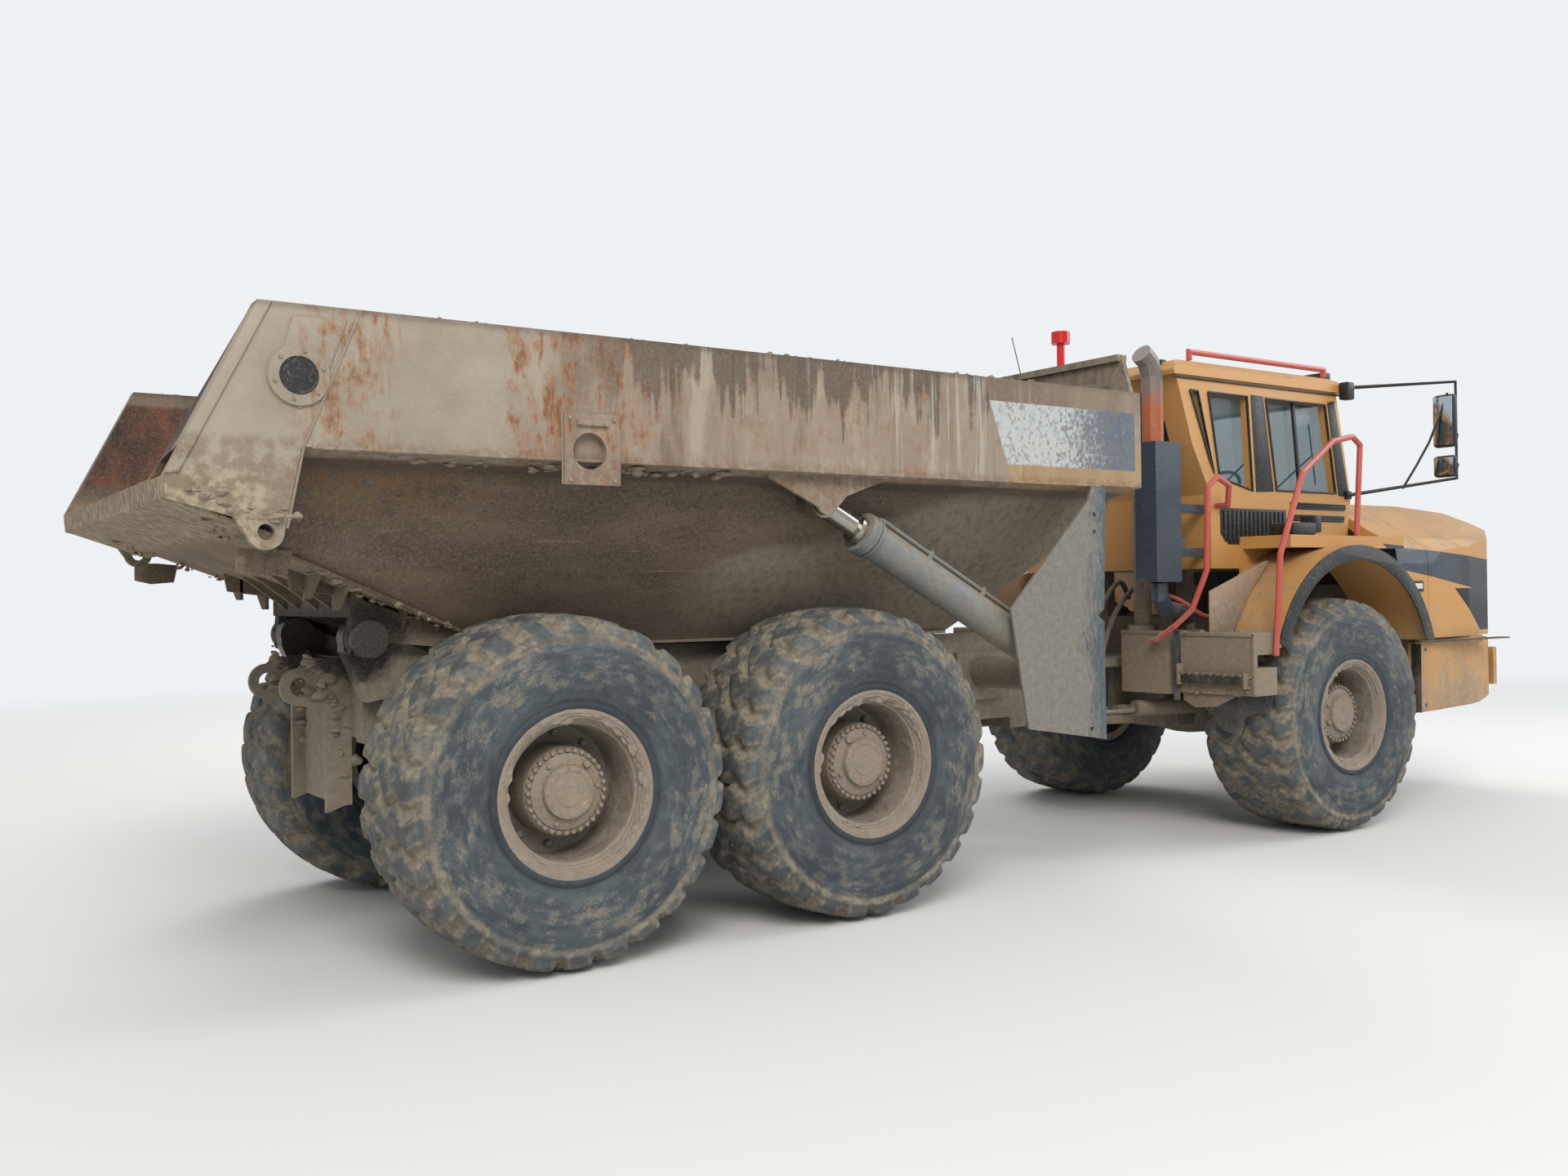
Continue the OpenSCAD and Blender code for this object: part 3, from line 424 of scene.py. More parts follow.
@dataclass(frozen=True)
class BedSkin(Weathered):
    """The bed: beige rails with rust bands and drips, brown mud on the tub with painted shade under the rails, dark
    rust inside.
    """

    def rail(self, g: Graph, clumps: Sock, cloud: Sock) -> Any:
        """Colours the rails from tail to front.

        Args:
            g: the material's graph.
            clumps: small lumps of dirt, from 0 to 1.
            cloud: wide patches, from 0 to 1.
        Returns:
            The rails' colour.
        """
        ragged = g.x + (cloud - 0.5) * 0.5 + (clumps - 0.5) * 0.12
        smear = g.noise(1, (5, 5, 0.9), detail=8, seed=2) * 0.7 + g.noise(9, (1, 1, 0.6), seed=16) * 0.3
        fine = g.noise(34, (1, 1, 0.3), detail=7, seed=6)
        # Two bands of orange rust flecks
        first = ragged.step(-4.72, -4.52) * ragged.step(-4.15, -4.40)
        second = (g.x + (clumps - 0.5) * 0.05).step(-3.79, -3.76) * ragged.step(-2.75, -3.25)
        orange = (first * 0.85 + second + ragged.step(-3.2, -2.0) * ragged.step(-0.8, -1.4) * 0.38).clip()
        orange = orange * (g.noise(6, seed=23) * 0.6 + clumps * 0.4).step(0.40, 0.58)
        # Dark drips that start at the top edge, pale washed ones beside them, and the edge's dirt
        run = g.noise(1, (13, 13, 0.25), detail=6, seed=12) * 0.7 + g.noise(5, seed=14) * 0.3
        drip = (run + (g.z - 2.83) * 0.50).step(0.41, 0.47) * ragged.step(-3.6, -3.0) * ragged.step(0.1, -0.9)
        washed = g.noise(1, (16, 16, 0.5), detail=8, seed=41).step(0.56, 0.62) * ragged.step(-2.4, -1.9)
        edge = g.z.step(2.815, 2.85) * (clumps * 0.8 + cloud * 0.5).clip()
        # Dark band near the front, in its frame of bare ochre
        slant = g.x + (g.z - 2.74) * 0.36 + (fine - 0.5) * 0.02
        framed = slant.step(-0.975, -0.965)
        inside = framed * g.z.step(2.382, 2.386) * g.z.step(2.730, 2.726) * g.x.step(0.198, 0.194)
        speckle = g.noise(48, (1, 1, 0.8), detail=6, seed=27)
        far = (g.x + (speckle - 0.5) * 1.1 + (cloud - 0.5) * 0.3).step(-0.50, -0.05)
        band = g.coats("#b1b6b7", (far * 0.92, "#46566a"), (speckle.step(0.53, 0.58) * 0.60, "#7a6f62"),
                       (fine.step(0.60, 0.66) * 0.35, "#8e969c"))
        low = g.z.step(2.345, 2.295) * clumps.step(0.35, 0.6)
        return g.coats(
            "#9a9081", (cloud.step(0.35, 0.7), "#857b6d"),
            # Front two thirds: browner, with long smears
            (ragged.step(-3.85, -3.45) * 0.62, "#857465"),
            (smear.step(0.48, 0.62) * ragged.step(-4.0, -3.3) * 0.75, "#655649"),
            (smear.step(0.46, 0.36) * ragged.step(-3.9, -3.2) * 0.55, "#a69b8b"),
            (orange * fine.step(0.44, 0.52) * 0.80, "#8f6647"),
            (orange * fine.step(0.54, 0.60) * 0.80, "#6f4630"),
            (drip * 0.78, "#4f443b"),
            (washed * ragged.step(-0.2, -1.0) * 0.6, "#a9a59c"),
            (edge * 0.75, "#51463d"),
            (framed * g.z.step(2.55, 2.54) * 0.60, "#a98a62"),
            (framed * g.z.step(2.71, 2.73) * 0.55, "#7d6c5d"),
            (inside * 0.93, band),
            (low * 0.55, "#6d5947"))

    def tub(self, g: Graph, clumps: Sock, cloud: Sock) -> Any:
        """Colours the tub's outside, with painted shade along its top under the rails.

        Args:
            g: the material's graph.
            clumps: small lumps of dirt, from 0 to 1.
            cloud: wide patches, from 0 to 1.
        Returns:
            The tub's colour.
        """
        rusty = (g.x + (cloud - 0.5)).step(-3.3, -4.1) * g.z.step(1.9, 2.15) * clumps.step(0.42, 0.6)
        tide = 1.98 + (g.x + 1.9) * 0.25 - g.z + (cloud - 0.5) * 0.35 + (clumps - 0.5) * 0.05
        pale = tide.step(-0.03, 0.06) * (g.x + (cloud - 0.5)).step(-2.9, -2.0)
        foot = (g.z + (cloud - 0.5) * 0.2).step(1.60, 1.46)
        scratch = g.noise(1, (1.6, 26, 38), detail=4, seed=15).step(0.655, 0.70)
        return g.coats(
            "#52463c", (g.noise(4, (0.5, 1, 1.4), seed=8).step(0.32, 0.72), "#6b5d50"),
            (g.noise(60, (1, 1, 1.6), detail=5, seed=19).step(0.50, 0.62) * 0.55, "#7d6c5a"),
            (g.noise(42, seed=18).step(0.56, 0.66) * 0.6, "#3c322b"),
            (rusty * 0.60, "#7c5a3c"),
            (pale * 0.85, g.blend(clumps.step(0.4, 0.7), "#8e8475", "#766b5e")),
            (foot * 0.45, "#776b5d"),
            (scratch * 0.55, "#977c5f"),
            # Painted shade: the tub's top band, just under the rails' overhang, is darkened
            (g.z.step(2.18, 2.26) * 0.55, "#3a312b"))

    def build(self) -> bpy.types.Material:
        """Makes the material.

        Returns:
            The material.
        """
        g = Graph(self.name)
        side = abs(g.y)
        grit = g.noise(90, detail=4, seed=9)
        clumps = g.noise(22, seed=4)
        cloud = g.noise(1.7, seed=1)
        rusty = g.blend(g.noise(5, (1, 1, 0.4), seed=10).step(0.35, 0.7), "#2e1f1a", "#5f3a28")
        inside = side.step(1.37, 1.34) * g.z.step(2.28, 2.34)
        chute = (g.x + (cloud - 0.5) * 0.3).step(-4.70, -4.86) * g.z.step(2.24, 2.12)
        under = g.x.step(-3.50, -3.60) * g.up.step(-0.55, -0.80) * g.z.step(1.98, 1.93)
        oily = (self.away(g, HINGE) + (clumps - 0.5) * 0.12).step(0.22, 0.13)
        settled = g.up.step(0.35, 0.95) * (0.35 + cloud * 0.6)
        colour = g.coats(
            self.tub(g, clumps, cloud), (side.step(1.30, 1.36), self.rail(g, clumps, cloud)),
            (inside, rusty),
            (chute * 0.85, g.blend(clumps.step(0.35, 0.6), "#a3967f", "#776a55")),
            (under * 0.70, g.blend(cloud.step(0.4, 0.6), "#6b5c48", "#86745a")),
            (oily * 0.85, "#2a231e"),
            (settled.clip() * 0.75, "#7c7163"),
            (grit.step(0.48, 0.8) * 0.26, "#b0a696"))
        rough = 0.74 + clumps * 0.25
        height = grit * 0.45 + clumps * 0.7 + g.noise(60, detail=3, seed=2) * 0.15
        return g.finish(colour, rough, 0.0, height, self.relief)


@dataclass(frozen=True)
class Rubber:
    """Tyre rubber, dusty blue-grey on the sidewall, with tan dirt in the tread and in scuffs."""

    name: str = "dusty_tyre"
    @staticmethod
    def radius(g: Graph) -> tuple[Sock, bpy.types.NodeSocket]:
        """Measures round the nearest wheel's axis.

        Args:
            g: the material's graph.
        Returns:
            The distance from the axis, and coordinates that run round it, for streaks.
        """
        rise = g.z - AXLE_Z
        near = g.x - AXLE_X[0]
        for place in AXLE_X[1:]:
            other = g.x - place
            nearer = (abs(near) - abs(other)).step(-0.001, 0.001)
            near = near + (other - near) * nearer
        far = (near * near + rise * rise) ** 0.5
        spot = g.node("ShaderNodeCombineXYZ", {}, {0: near / far, 1: rise / far + g.y, 2: far})
        return far, spot.outputs[0]

    def build(self) -> bpy.types.Material:
        """Makes the material.

        Returns:
            The material.
        """
        g = Graph(self.name)
        radius, around = self.radius(g)
        groove = g.attribute("groove")
        lug = g.attribute("lug")
        cloud = g.noise(2.3, seed=1)
        patch = g.noise(9, seed=6)
        grit = g.noise(120, detail=4, seed=9)
        clumps = g.noise(30, seed=2)
        streak = g.noise(1, (6, 6, 26), detail=10, seed=4, place=around)
        rubber = g.blend((cloud * 0.5 + streak * 0.5).step(0.38, 0.62), "#2f373e", "#4a5358")
        tan = g.blend(clumps.step(0.3, 0.7), "#6c655b", "#8b8272")
        scuff = (streak * 0.42 + patch * 0.36 + grit * 0.22).step(0.49, 0.57) * (cloud.step(0.30, 0.62) * 0.60 + 0.12)
        scuff = scuff * radius.step(0.44, 0.50)
        ring = radius.step(0.665, 0.690) * radius.step(0.735, 0.705) * (0.30 + patch.step(0.35, 0.6) * 0.5)
        worn = lug.step(0.45, 0.62) * radius.step(0.700, 0.725) * (0.55 + patch.step(0.62, 0.42) * 0.45)
        crown = radius.step(0.715, 0.745) * (0.45 + (patch * 0.5 + clumps * 0.5).step(0.40, 0.60) * 0.40)
        dusted = ((scuff + ring + crown) * (1 - worn * 0.80) + groove.step(0.25, 0.75) * 0.55).clip()
        colour = g.coats(rubber, (dusted, tan), (grit.step(0.55, 0.8) * 0.2, "#9c9486"),
                         (radius.step(0.440, 0.405) * 0.65, "#20272e"))
        height = grit * 0.35 + clumps * 0.45 + streak * 0.5
        return g.finish(colour, 0.74 + dusted * 0.20, 0.0, height, 0.003)


@dataclass(frozen=True)
class RimSkin(Weathered):
    """The rims: dull grey-brown dust, caked grey mud on the flange, orange specks on the hub's face."""

    def cover(self, g: Graph) -> Sock:
        """Mud lies in patches."""
        return (g.noise(7, seed=3) * 0.6 + g.noise(24, seed=5) * 0.4).step(0.42, 0.56) * 0.75

    def base(self, g: Graph) -> Any:
        """The dusty paint, with painted shade inside the recessed dish."""
        radius, _ = Rubber.radius(g)
        specks = g.noise(55, seed=6).step(0.56, 0.62) * radius.step(0.19, 0.15)
        return g.coats(self.paint, (g.noise(5, seed=8).step(0.35, 0.65), self.fade),
                       # Painted shade: the recessed dish between hub and flange is darkened
                       (radius.step(0.20, 0.23) * radius.step(0.318, 0.300) * 0.55, "#5b5751"),
                       (specks * 0.60, "#9a6444"))


@dataclass(frozen=True)
class FrameSkin(Weathered):
    """The rear frame: dust all over, and dark grease round the bed's hinge."""

    greased: Pair = (-4.17, 1.49)

    def base(self, g: Graph) -> Any:
        """Dusty paint."""
        return g.blend(g.noise(3, seed=5).step(0.35, 0.7), self.paint, self.fade)

    def cover(self, g: Graph) -> Sock:
        """Dust lies where no grease is."""
        oily = (self.away(g, self.greased) + (g.noise(14, seed=12) - 0.5) * 0.25).step(0.24, 0.14)
        return super().cover(g) * (1 - oily)


@dataclass(frozen=True)
class GuardSkin(Weathered):
    """The bed's side guards: blue-grey steel, muddy towards the rear, with dark drips along the front edge."""

    def cover(self, g: Graph) -> Sock:
        """Mud thins out towards the front edge."""
        speck = g.noise(55, (1, 1, 0.35), detail=6, seed=12)
        edge = (g.x + (g.noise(3, (1, 1, 0.5), seed=4) - 0.5) * 0.5).step(-0.10, -0.42)
        return (edge * 0.45 + speck * 0.55 + g.noise(5, seed=6) * 0.25).step(0.38, 0.62) * 0.85


@dataclass(frozen=True)
class Smooth:
    """A plain hard material with a little dust: glass, chrome, moulded plastic, lamp lenses."""

    name: str
    tint: str
    dust: str = "#a08d70"
    rough: float = 0.3
    metal: float = 0.0
    dust_share: float = 0.3
    clear: float = 0.0
    glow: float = 0.0

    def film(self, g: Graph) -> Sock:
        """How much dust lies at each place."""
        return (g.noise(3, seed=2) * 0.6 + g.noise(24, seed=5) * 0.4 + (self.dust_share - 0.5)).step(0.42, 0.80)

    def build(self) -> bpy.types.Material:
        """Makes the material.

        Returns:
            The material.
        """
        g = Graph(self.name)
        film = self.film(g)
        grit = g.noise(150, detail=3, seed=1)
        colour = g.blend(film, self.tint, self.dust)
        rough = self.rough + film * (0.85 - self.rough)
        extra: dict[str, Any] = {}
        if self.clear:
            extra = {"Alpha": (1 - self.clear) + film * self.clear * 0.35, "IOR": 1.45}
        if self.glow:
            extra["Emission Color"] = linear(self.tint)
            extra["Emission Strength"] = self.glow
        metal = self.metal * (1 - film) if self.metal else 0.0
        return g.finish(colour, rough, metal, grit * 0.5 + film * 0.4, 0.0006, extra)


@dataclass(frozen=True)
class LampSkin(Smooth):
    """The head lamps' panes, whose dark tint is painted shade of the lamps' insides; their lower rear corners are
    painted over like the bonnet.
    """

    paint: str = "#be8b4c"

    def build(self) -> bpy.types.Material:
        """Makes the material.

        Returns:
            The material.
        """
        g = Graph(self.name)
        film = self.film(g)
        covered = (1.672 - (g.x - 4.04) * 0.68 - g.z).step(-0.003, 0.003)
        # Painted shade: the pane's dark tint stands for the shaded inside of the lamp
        glass = g.blend(film, self.tint, self.dust)
        colour = g.blend(covered, glass, g.blend(film * 0.7, self.paint, "#93897b"))
        return g.finish(colour, self.rough + (film * 0.5 + covered * 0.4).clip() * 0.6)


class Stock:
    """The finishes that are in use, each made once and found by its name."""

    # Finishes that aren't named as the record's own slot
    slots = {"bed_skin": "worn_bed_paint", "bed_trim": "worn_bed_paint",
             "nose_paint": "ochre_paint", "panel_tan": "ochre_paint",
             "grease": "grimy_iron", "hose_rubber": "dark_plastic", "seal": "dark_plastic",
             "cylinder_paint": "dusty_frame", "stack": "blue_grey_steel",
             "head_skin": "worn_bed_paint", "mirror_face": "rod_chrome", "lens": "lamp_glass",
             "step_paint": "ochre_paint", "dry_mud": "dusty_frame", "canister": "dusty_frame"}

    def __init__(self, finishes: Sequence[Any]) -> None:
        """Builds every finish.

        Args:
            finishes: finish objects with a name and a build method.
        """
        self.made = {finish.name: finish.build() for finish in finishes}

    def dress(self, node: str, finish: str) -> None:
        """Puts a finish on a frame node.

        Args:
            node: the node's name.
            finish: the finish's name.
        """
        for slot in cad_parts[node].material_slots:
            slot.material = self.made[finish]

    def coat(self, piece: bpy.types.Object, finish: str) -> None:
        """Puts a finish on a new piece.

        Args:
            piece: the piece.
            finish: the finish's name.
        """
        piece.data.materials.clear()
        piece.data.materials.append(self.made[finish])


# ---- modelling ----------------------------------------------------------------------------------
MIRROR = Matrix.Diagonal((1, -1, 1, 1))


class Axis(Enum):
    """The axis that an outline is extruded along."""

    X = 0
    Y = 1
    Z = 2

    def place(self, pair: Pair, along: float) -> Point:
        """Puts an outline's point in space.

        Args:
            pair: the point's two coordinates across the axis, in the order X, Y, Z.
            along: its place along the axis.
        Returns:
            The point.
        """
        spot = list(pair)
        spot.insert(self.value, along)
        return spot[0], spot[1], spot[2]


class Bench:
    """Modelling steps that the sub-assemblies share, each by Blender's own operators."""

    @staticmethod
    def start() -> None:
        """Leaves nothing selected, in object mode."""
        if bpy.context.object and bpy.context.object.mode != "OBJECT":
            bpy.ops.object.mode_set(mode="OBJECT")
        bpy.ops.object.select_all(action="DESELECT")

    @classmethod
    def pick(cls, piece: bpy.types.Object) -> None:
        """Leaves only that piece selected, and active."""
        cls.start()
        piece.select_set(True)
        bpy.context.view_layer.objects.active = piece

    @staticmethod
    def named(name: str) -> bpy.types.Object:
        """Names the active object and its mesh.

        Args:
            name: the piece's name.
        Returns:
            The object.
        """
        piece = bpy.context.object
        piece.name = name
        piece.data.name = name
        return piece

    @classmethod
    def trace(cls, name: str, points: Sequence[Point]) -> bpy.types.Object:
        """Draws a line through points, each vertex extruded from the one before. Edit mode stays on.

        Args:
            name: the piece's name.
            points: the points.
        Returns:
            The line, as a mesh of edges.
        """
        cls.start()
        bpy.ops.mesh.primitive_plane_add(size=0.01, location=(0, 0, 0))
        piece = cls.named(name)
        bpy.ops.object.mode_set(mode="EDIT")
        bpy.ops.mesh.select_all(action="SELECT")
        bpy.ops.mesh.merge(type="CENTER")
        bpy.ops.transform.translate(value=points[0])
        for first, second in zip(points, points[1:]):
            move = Vector(second) - Vector(first)
            bpy.ops.mesh.extrude_region_move(TRANSFORM_OT_translate={"value": move})
        bpy.ops.mesh.select_all(action="SELECT")
        return piece

    @classmethod
    def lathe(cls, name: str, profile: Sequence[Pair], steps: int) -> bpy.types.Object:
        """Turns an open or closed profile round the Y axis.

        Args:
            name: the piece's name.
            profile: pairs of radius and place along Y.
            steps: the number of steps round the axis.
        Returns:
            The turned piece.
        """
        piece = cls.trace(name, [(r, y, 0) for r, y in profile])
        bpy.ops.mesh.spin(steps=steps, angle=2 * math.pi, center=(0, 0, 0), axis=(0, 1, 0))
        bpy.ops.mesh.select_all(action="SELECT")
        bpy.ops.mesh.remove_doubles(threshold=0.0002)
        bpy.ops.mesh.normals_make_consistent(inside=False)
        bpy.ops.object.mode_set(mode="OBJECT")
        return piece

    @classmethod
    def slab(cls, name: str, outline: Sequence[Pair], start: float, end: float, bevel: float = 0.0,
             axis: Axis = Axis.Y) -> bpy.types.Object:
        """Extrudes an outline along an axis and rounds its edges.

        Args:
            name: the piece's name.
            outline: the outline's points, as pairs across the axis.
            start: where it begins along the axis.
            end: where it ends.
            bevel: the width of its rounded edges, or 0.
            axis: the axis.
        Returns:
            The slab.
        """
        piece = cls.trace(name, [axis.place(pair, start) for pair in (*outline, outline[0])])
        bpy.ops.mesh.remove_doubles(threshold=0.00001)
        bpy.ops.mesh.edge_face_add()
        bpy.ops.mesh.extrude_region_move(TRANSFORM_OT_translate={"value": axis.place((0, 0), end - start)})
        bpy.ops.mesh.select_all(action="SELECT")
        bpy.ops.mesh.normals_make_consistent(inside=False)
        bpy.ops.object.mode_set(mode="OBJECT")
        if bevel:
            cls.modify(piece, "BEVEL", width=bevel, segments=2, limit_method="ANGLE", angle_limit=0.6)
        return piece

    @classmethod
    def rod(cls, name: str, first: Point, last: Point, r: float, sides: int = 14) -> bpy.types.Object:
        """Models a round bar with chamfered ends.

        Args:
            name: the piece's name.
            first: the middle of one end.
            last: the middle of the other.
            r: its radius.
            sides: its number of sides.
        Returns:
            The bar.
        """
        cls.start()
        run = Vector(last) - Vector(first)
        bpy.ops.mesh.primitive_cylinder_add(vertices=sides, radius=r, depth=run.length,
                                            location=(Vector(first) + Vector(last)) / 2,
                                            rotation=run.to_track_quat("Z", "Y").to_euler())
        piece = cls.named(name)
        bpy.ops.object.mode_set(mode="EDIT")
        bpy.ops.mesh.select_all(action="DESELECT")
        bpy.ops.mesh.select_face_by_sides(number=4, type="GREATER")
        bpy.ops.mesh.bevel(offset=min(r * 0.2, run.length * 0.3, 0.012), segments=1)
        bpy.ops.object.mode_set(mode="OBJECT")
        bpy.ops.object.transform_apply(location=True, rotation=True, scale=True)
        return piece

    @classmethod
    def tube(cls, name: str, points: Sequence[Point], r: float, smooth: int = 4) -> bpy.types.Object:
        """Models a bent tube.

        Args:
            name: the piece's name.
            points: the points that its middle line passes through.
            r: its radius.
            smooth: steps between two points of its curve; 1 leaves its corners.
        Returns:
            The tube.
        """
        knots = [Vector(p) for p in points]
        ends = [knots[0] * 2 - knots[1], *knots, knots[-1] * 2 - knots[-2]]
        path: list[Point] = []
        for a, b, c, d in zip(ends, ends[1:], ends[2:], ends[3:]):
            for k in range(smooth):
                t = k / smooth
                path.append(tuple(0.5 * (2 * b + (c - a) * t + (2 * a - 5 * b + 4 * c - d) * t * t
                                         + (3 * b - a - 3 * c + d) * t ** 3)))
        path.append(tuple(knots[-1]))
        cls.trace(name, path)
        bpy.ops.object.mode_set(mode="OBJECT")
        bpy.ops.object.convert(target="CURVE")
        curve = bpy.context.object
        curve.data.dimensions = "3D"
        curve.data.bevel_depth = r
        curve.data.bevel_resolution = 2
        curve.data.use_fill_caps = True
        bpy.ops.object.convert(target="MESH")
        return cls.named(name)

    @classmethod
    def bolt(cls, name: str, r: float) -> bpy.types.Object:
        """Models a hexagon head on its washer, at the origin, pointing along Z.

        Args:
            name: the piece's name.
            r: the head's radius.
        Returns:
            The bolt head.
        """
        washer = cls.rod(name, (0, 0, -r * 0.3), (0, 0, r * 0.22), r * 1.45, 12)
        head = cls.rod(name, (0, 0, 0), (0, 0, r * 0.95), r, 6)
        return cls.join([head, washer], name)

    @classmethod
    def lump(cls, name: str) -> bpy.types.Object:
        """Models a clod of dried mud of radius 1, at the origin."""
        cls.start()
        bpy.ops.mesh.primitive_ico_sphere_add(subdivisions=2, radius=1, location=(0, 0, 0))
        piece = cls.named(name)
        cls.roughen(piece, 0.9, 0.9)
        return piece

    @classmethod
    def copy(cls, piece: bpy.types.Object, name: str, place: Matrix) -> bpy.types.Object:
        """Copies a piece with its own mesh, moved within the mesh.

        Args:
            piece: the piece to copy.
            name: the copy's name.
            place: the move.
        Returns:
            The copy.
        """
        twin = piece.copy()
        twin.data = piece.data.copy()
        twin.name = twin.data.name = name
        twin.data.transform(place)
        if place.determinant() < 0:
            twin.data.flip_normals()
        bpy.context.collection.objects.link(twin)
        return twin

    @classmethod
    def join(cls, pieces: Sequence[bpy.types.Object], name: str) -> bpy.types.Object:
        """Joins pieces into one.

        Args:
            pieces: the pieces; the first one stays.
            name: the joined piece's name.
        Returns:
            The joined piece.
        """
        cls.start()
        for piece in pieces:
            piece.select_set(True)
        bpy.context.view_layer.objects.active = pieces[0]
        if len(pieces) > 1:
            bpy.ops.object.join()
        return cls.named(name)

    @classmethod
    def settle(cls, piece: bpy.types.Object, angle: float = 35) -> bpy.types.Object:
        """Puts a piece's place into its mesh and shades its curves smooth.

        Args:
            piece: the piece.
            angle: edges sharper than this many degrees stay sharp.
        Returns:
            The piece.
        """
        cls.pick(piece)
        bpy.ops.object.transform_apply(location=True, rotation=True, scale=True)
        bpy.ops.object.shade_smooth_by_angle(angle=math.radians(angle))
        return piece

    @classmethod
    def modify(cls, piece: bpy.types.Object, kind: str, **settings: Any) -> None:
        """Adds one modifier and applies it.

        Args:
            piece: the piece.
            kind: Blender's name of the modifier's type.
            settings: the modifier's properties.
        """
        cls.pick(piece)
        modifier = piece.modifiers.new(kind.lower(), kind)
        for key, value in settings.items():
            setattr(modifier, key, value)
        bpy.ops.object.modifier_apply(modifier=modifier.name)

    @classmethod
    def roughen(cls, piece: bpy.types.Object, strength: float, size: float) -> None:
        """Pushes a surface out and in by lumps of dried mud.

        Args:
            piece: the piece.
            strength: the greatest push in metres.
            size: the size of a lump in metres.
        """
        lumps = bpy.data.textures.get(f"lumps_{size}") or bpy.data.textures.new(f"lumps_{size}", "CLOUDS")
        lumps.noise_scale = size
        lumps.noise_depth = 3
        cls.modify(piece, "DISPLACE", texture=lumps, strength=strength, mid_level=0.55, texture_coords="LOCAL")


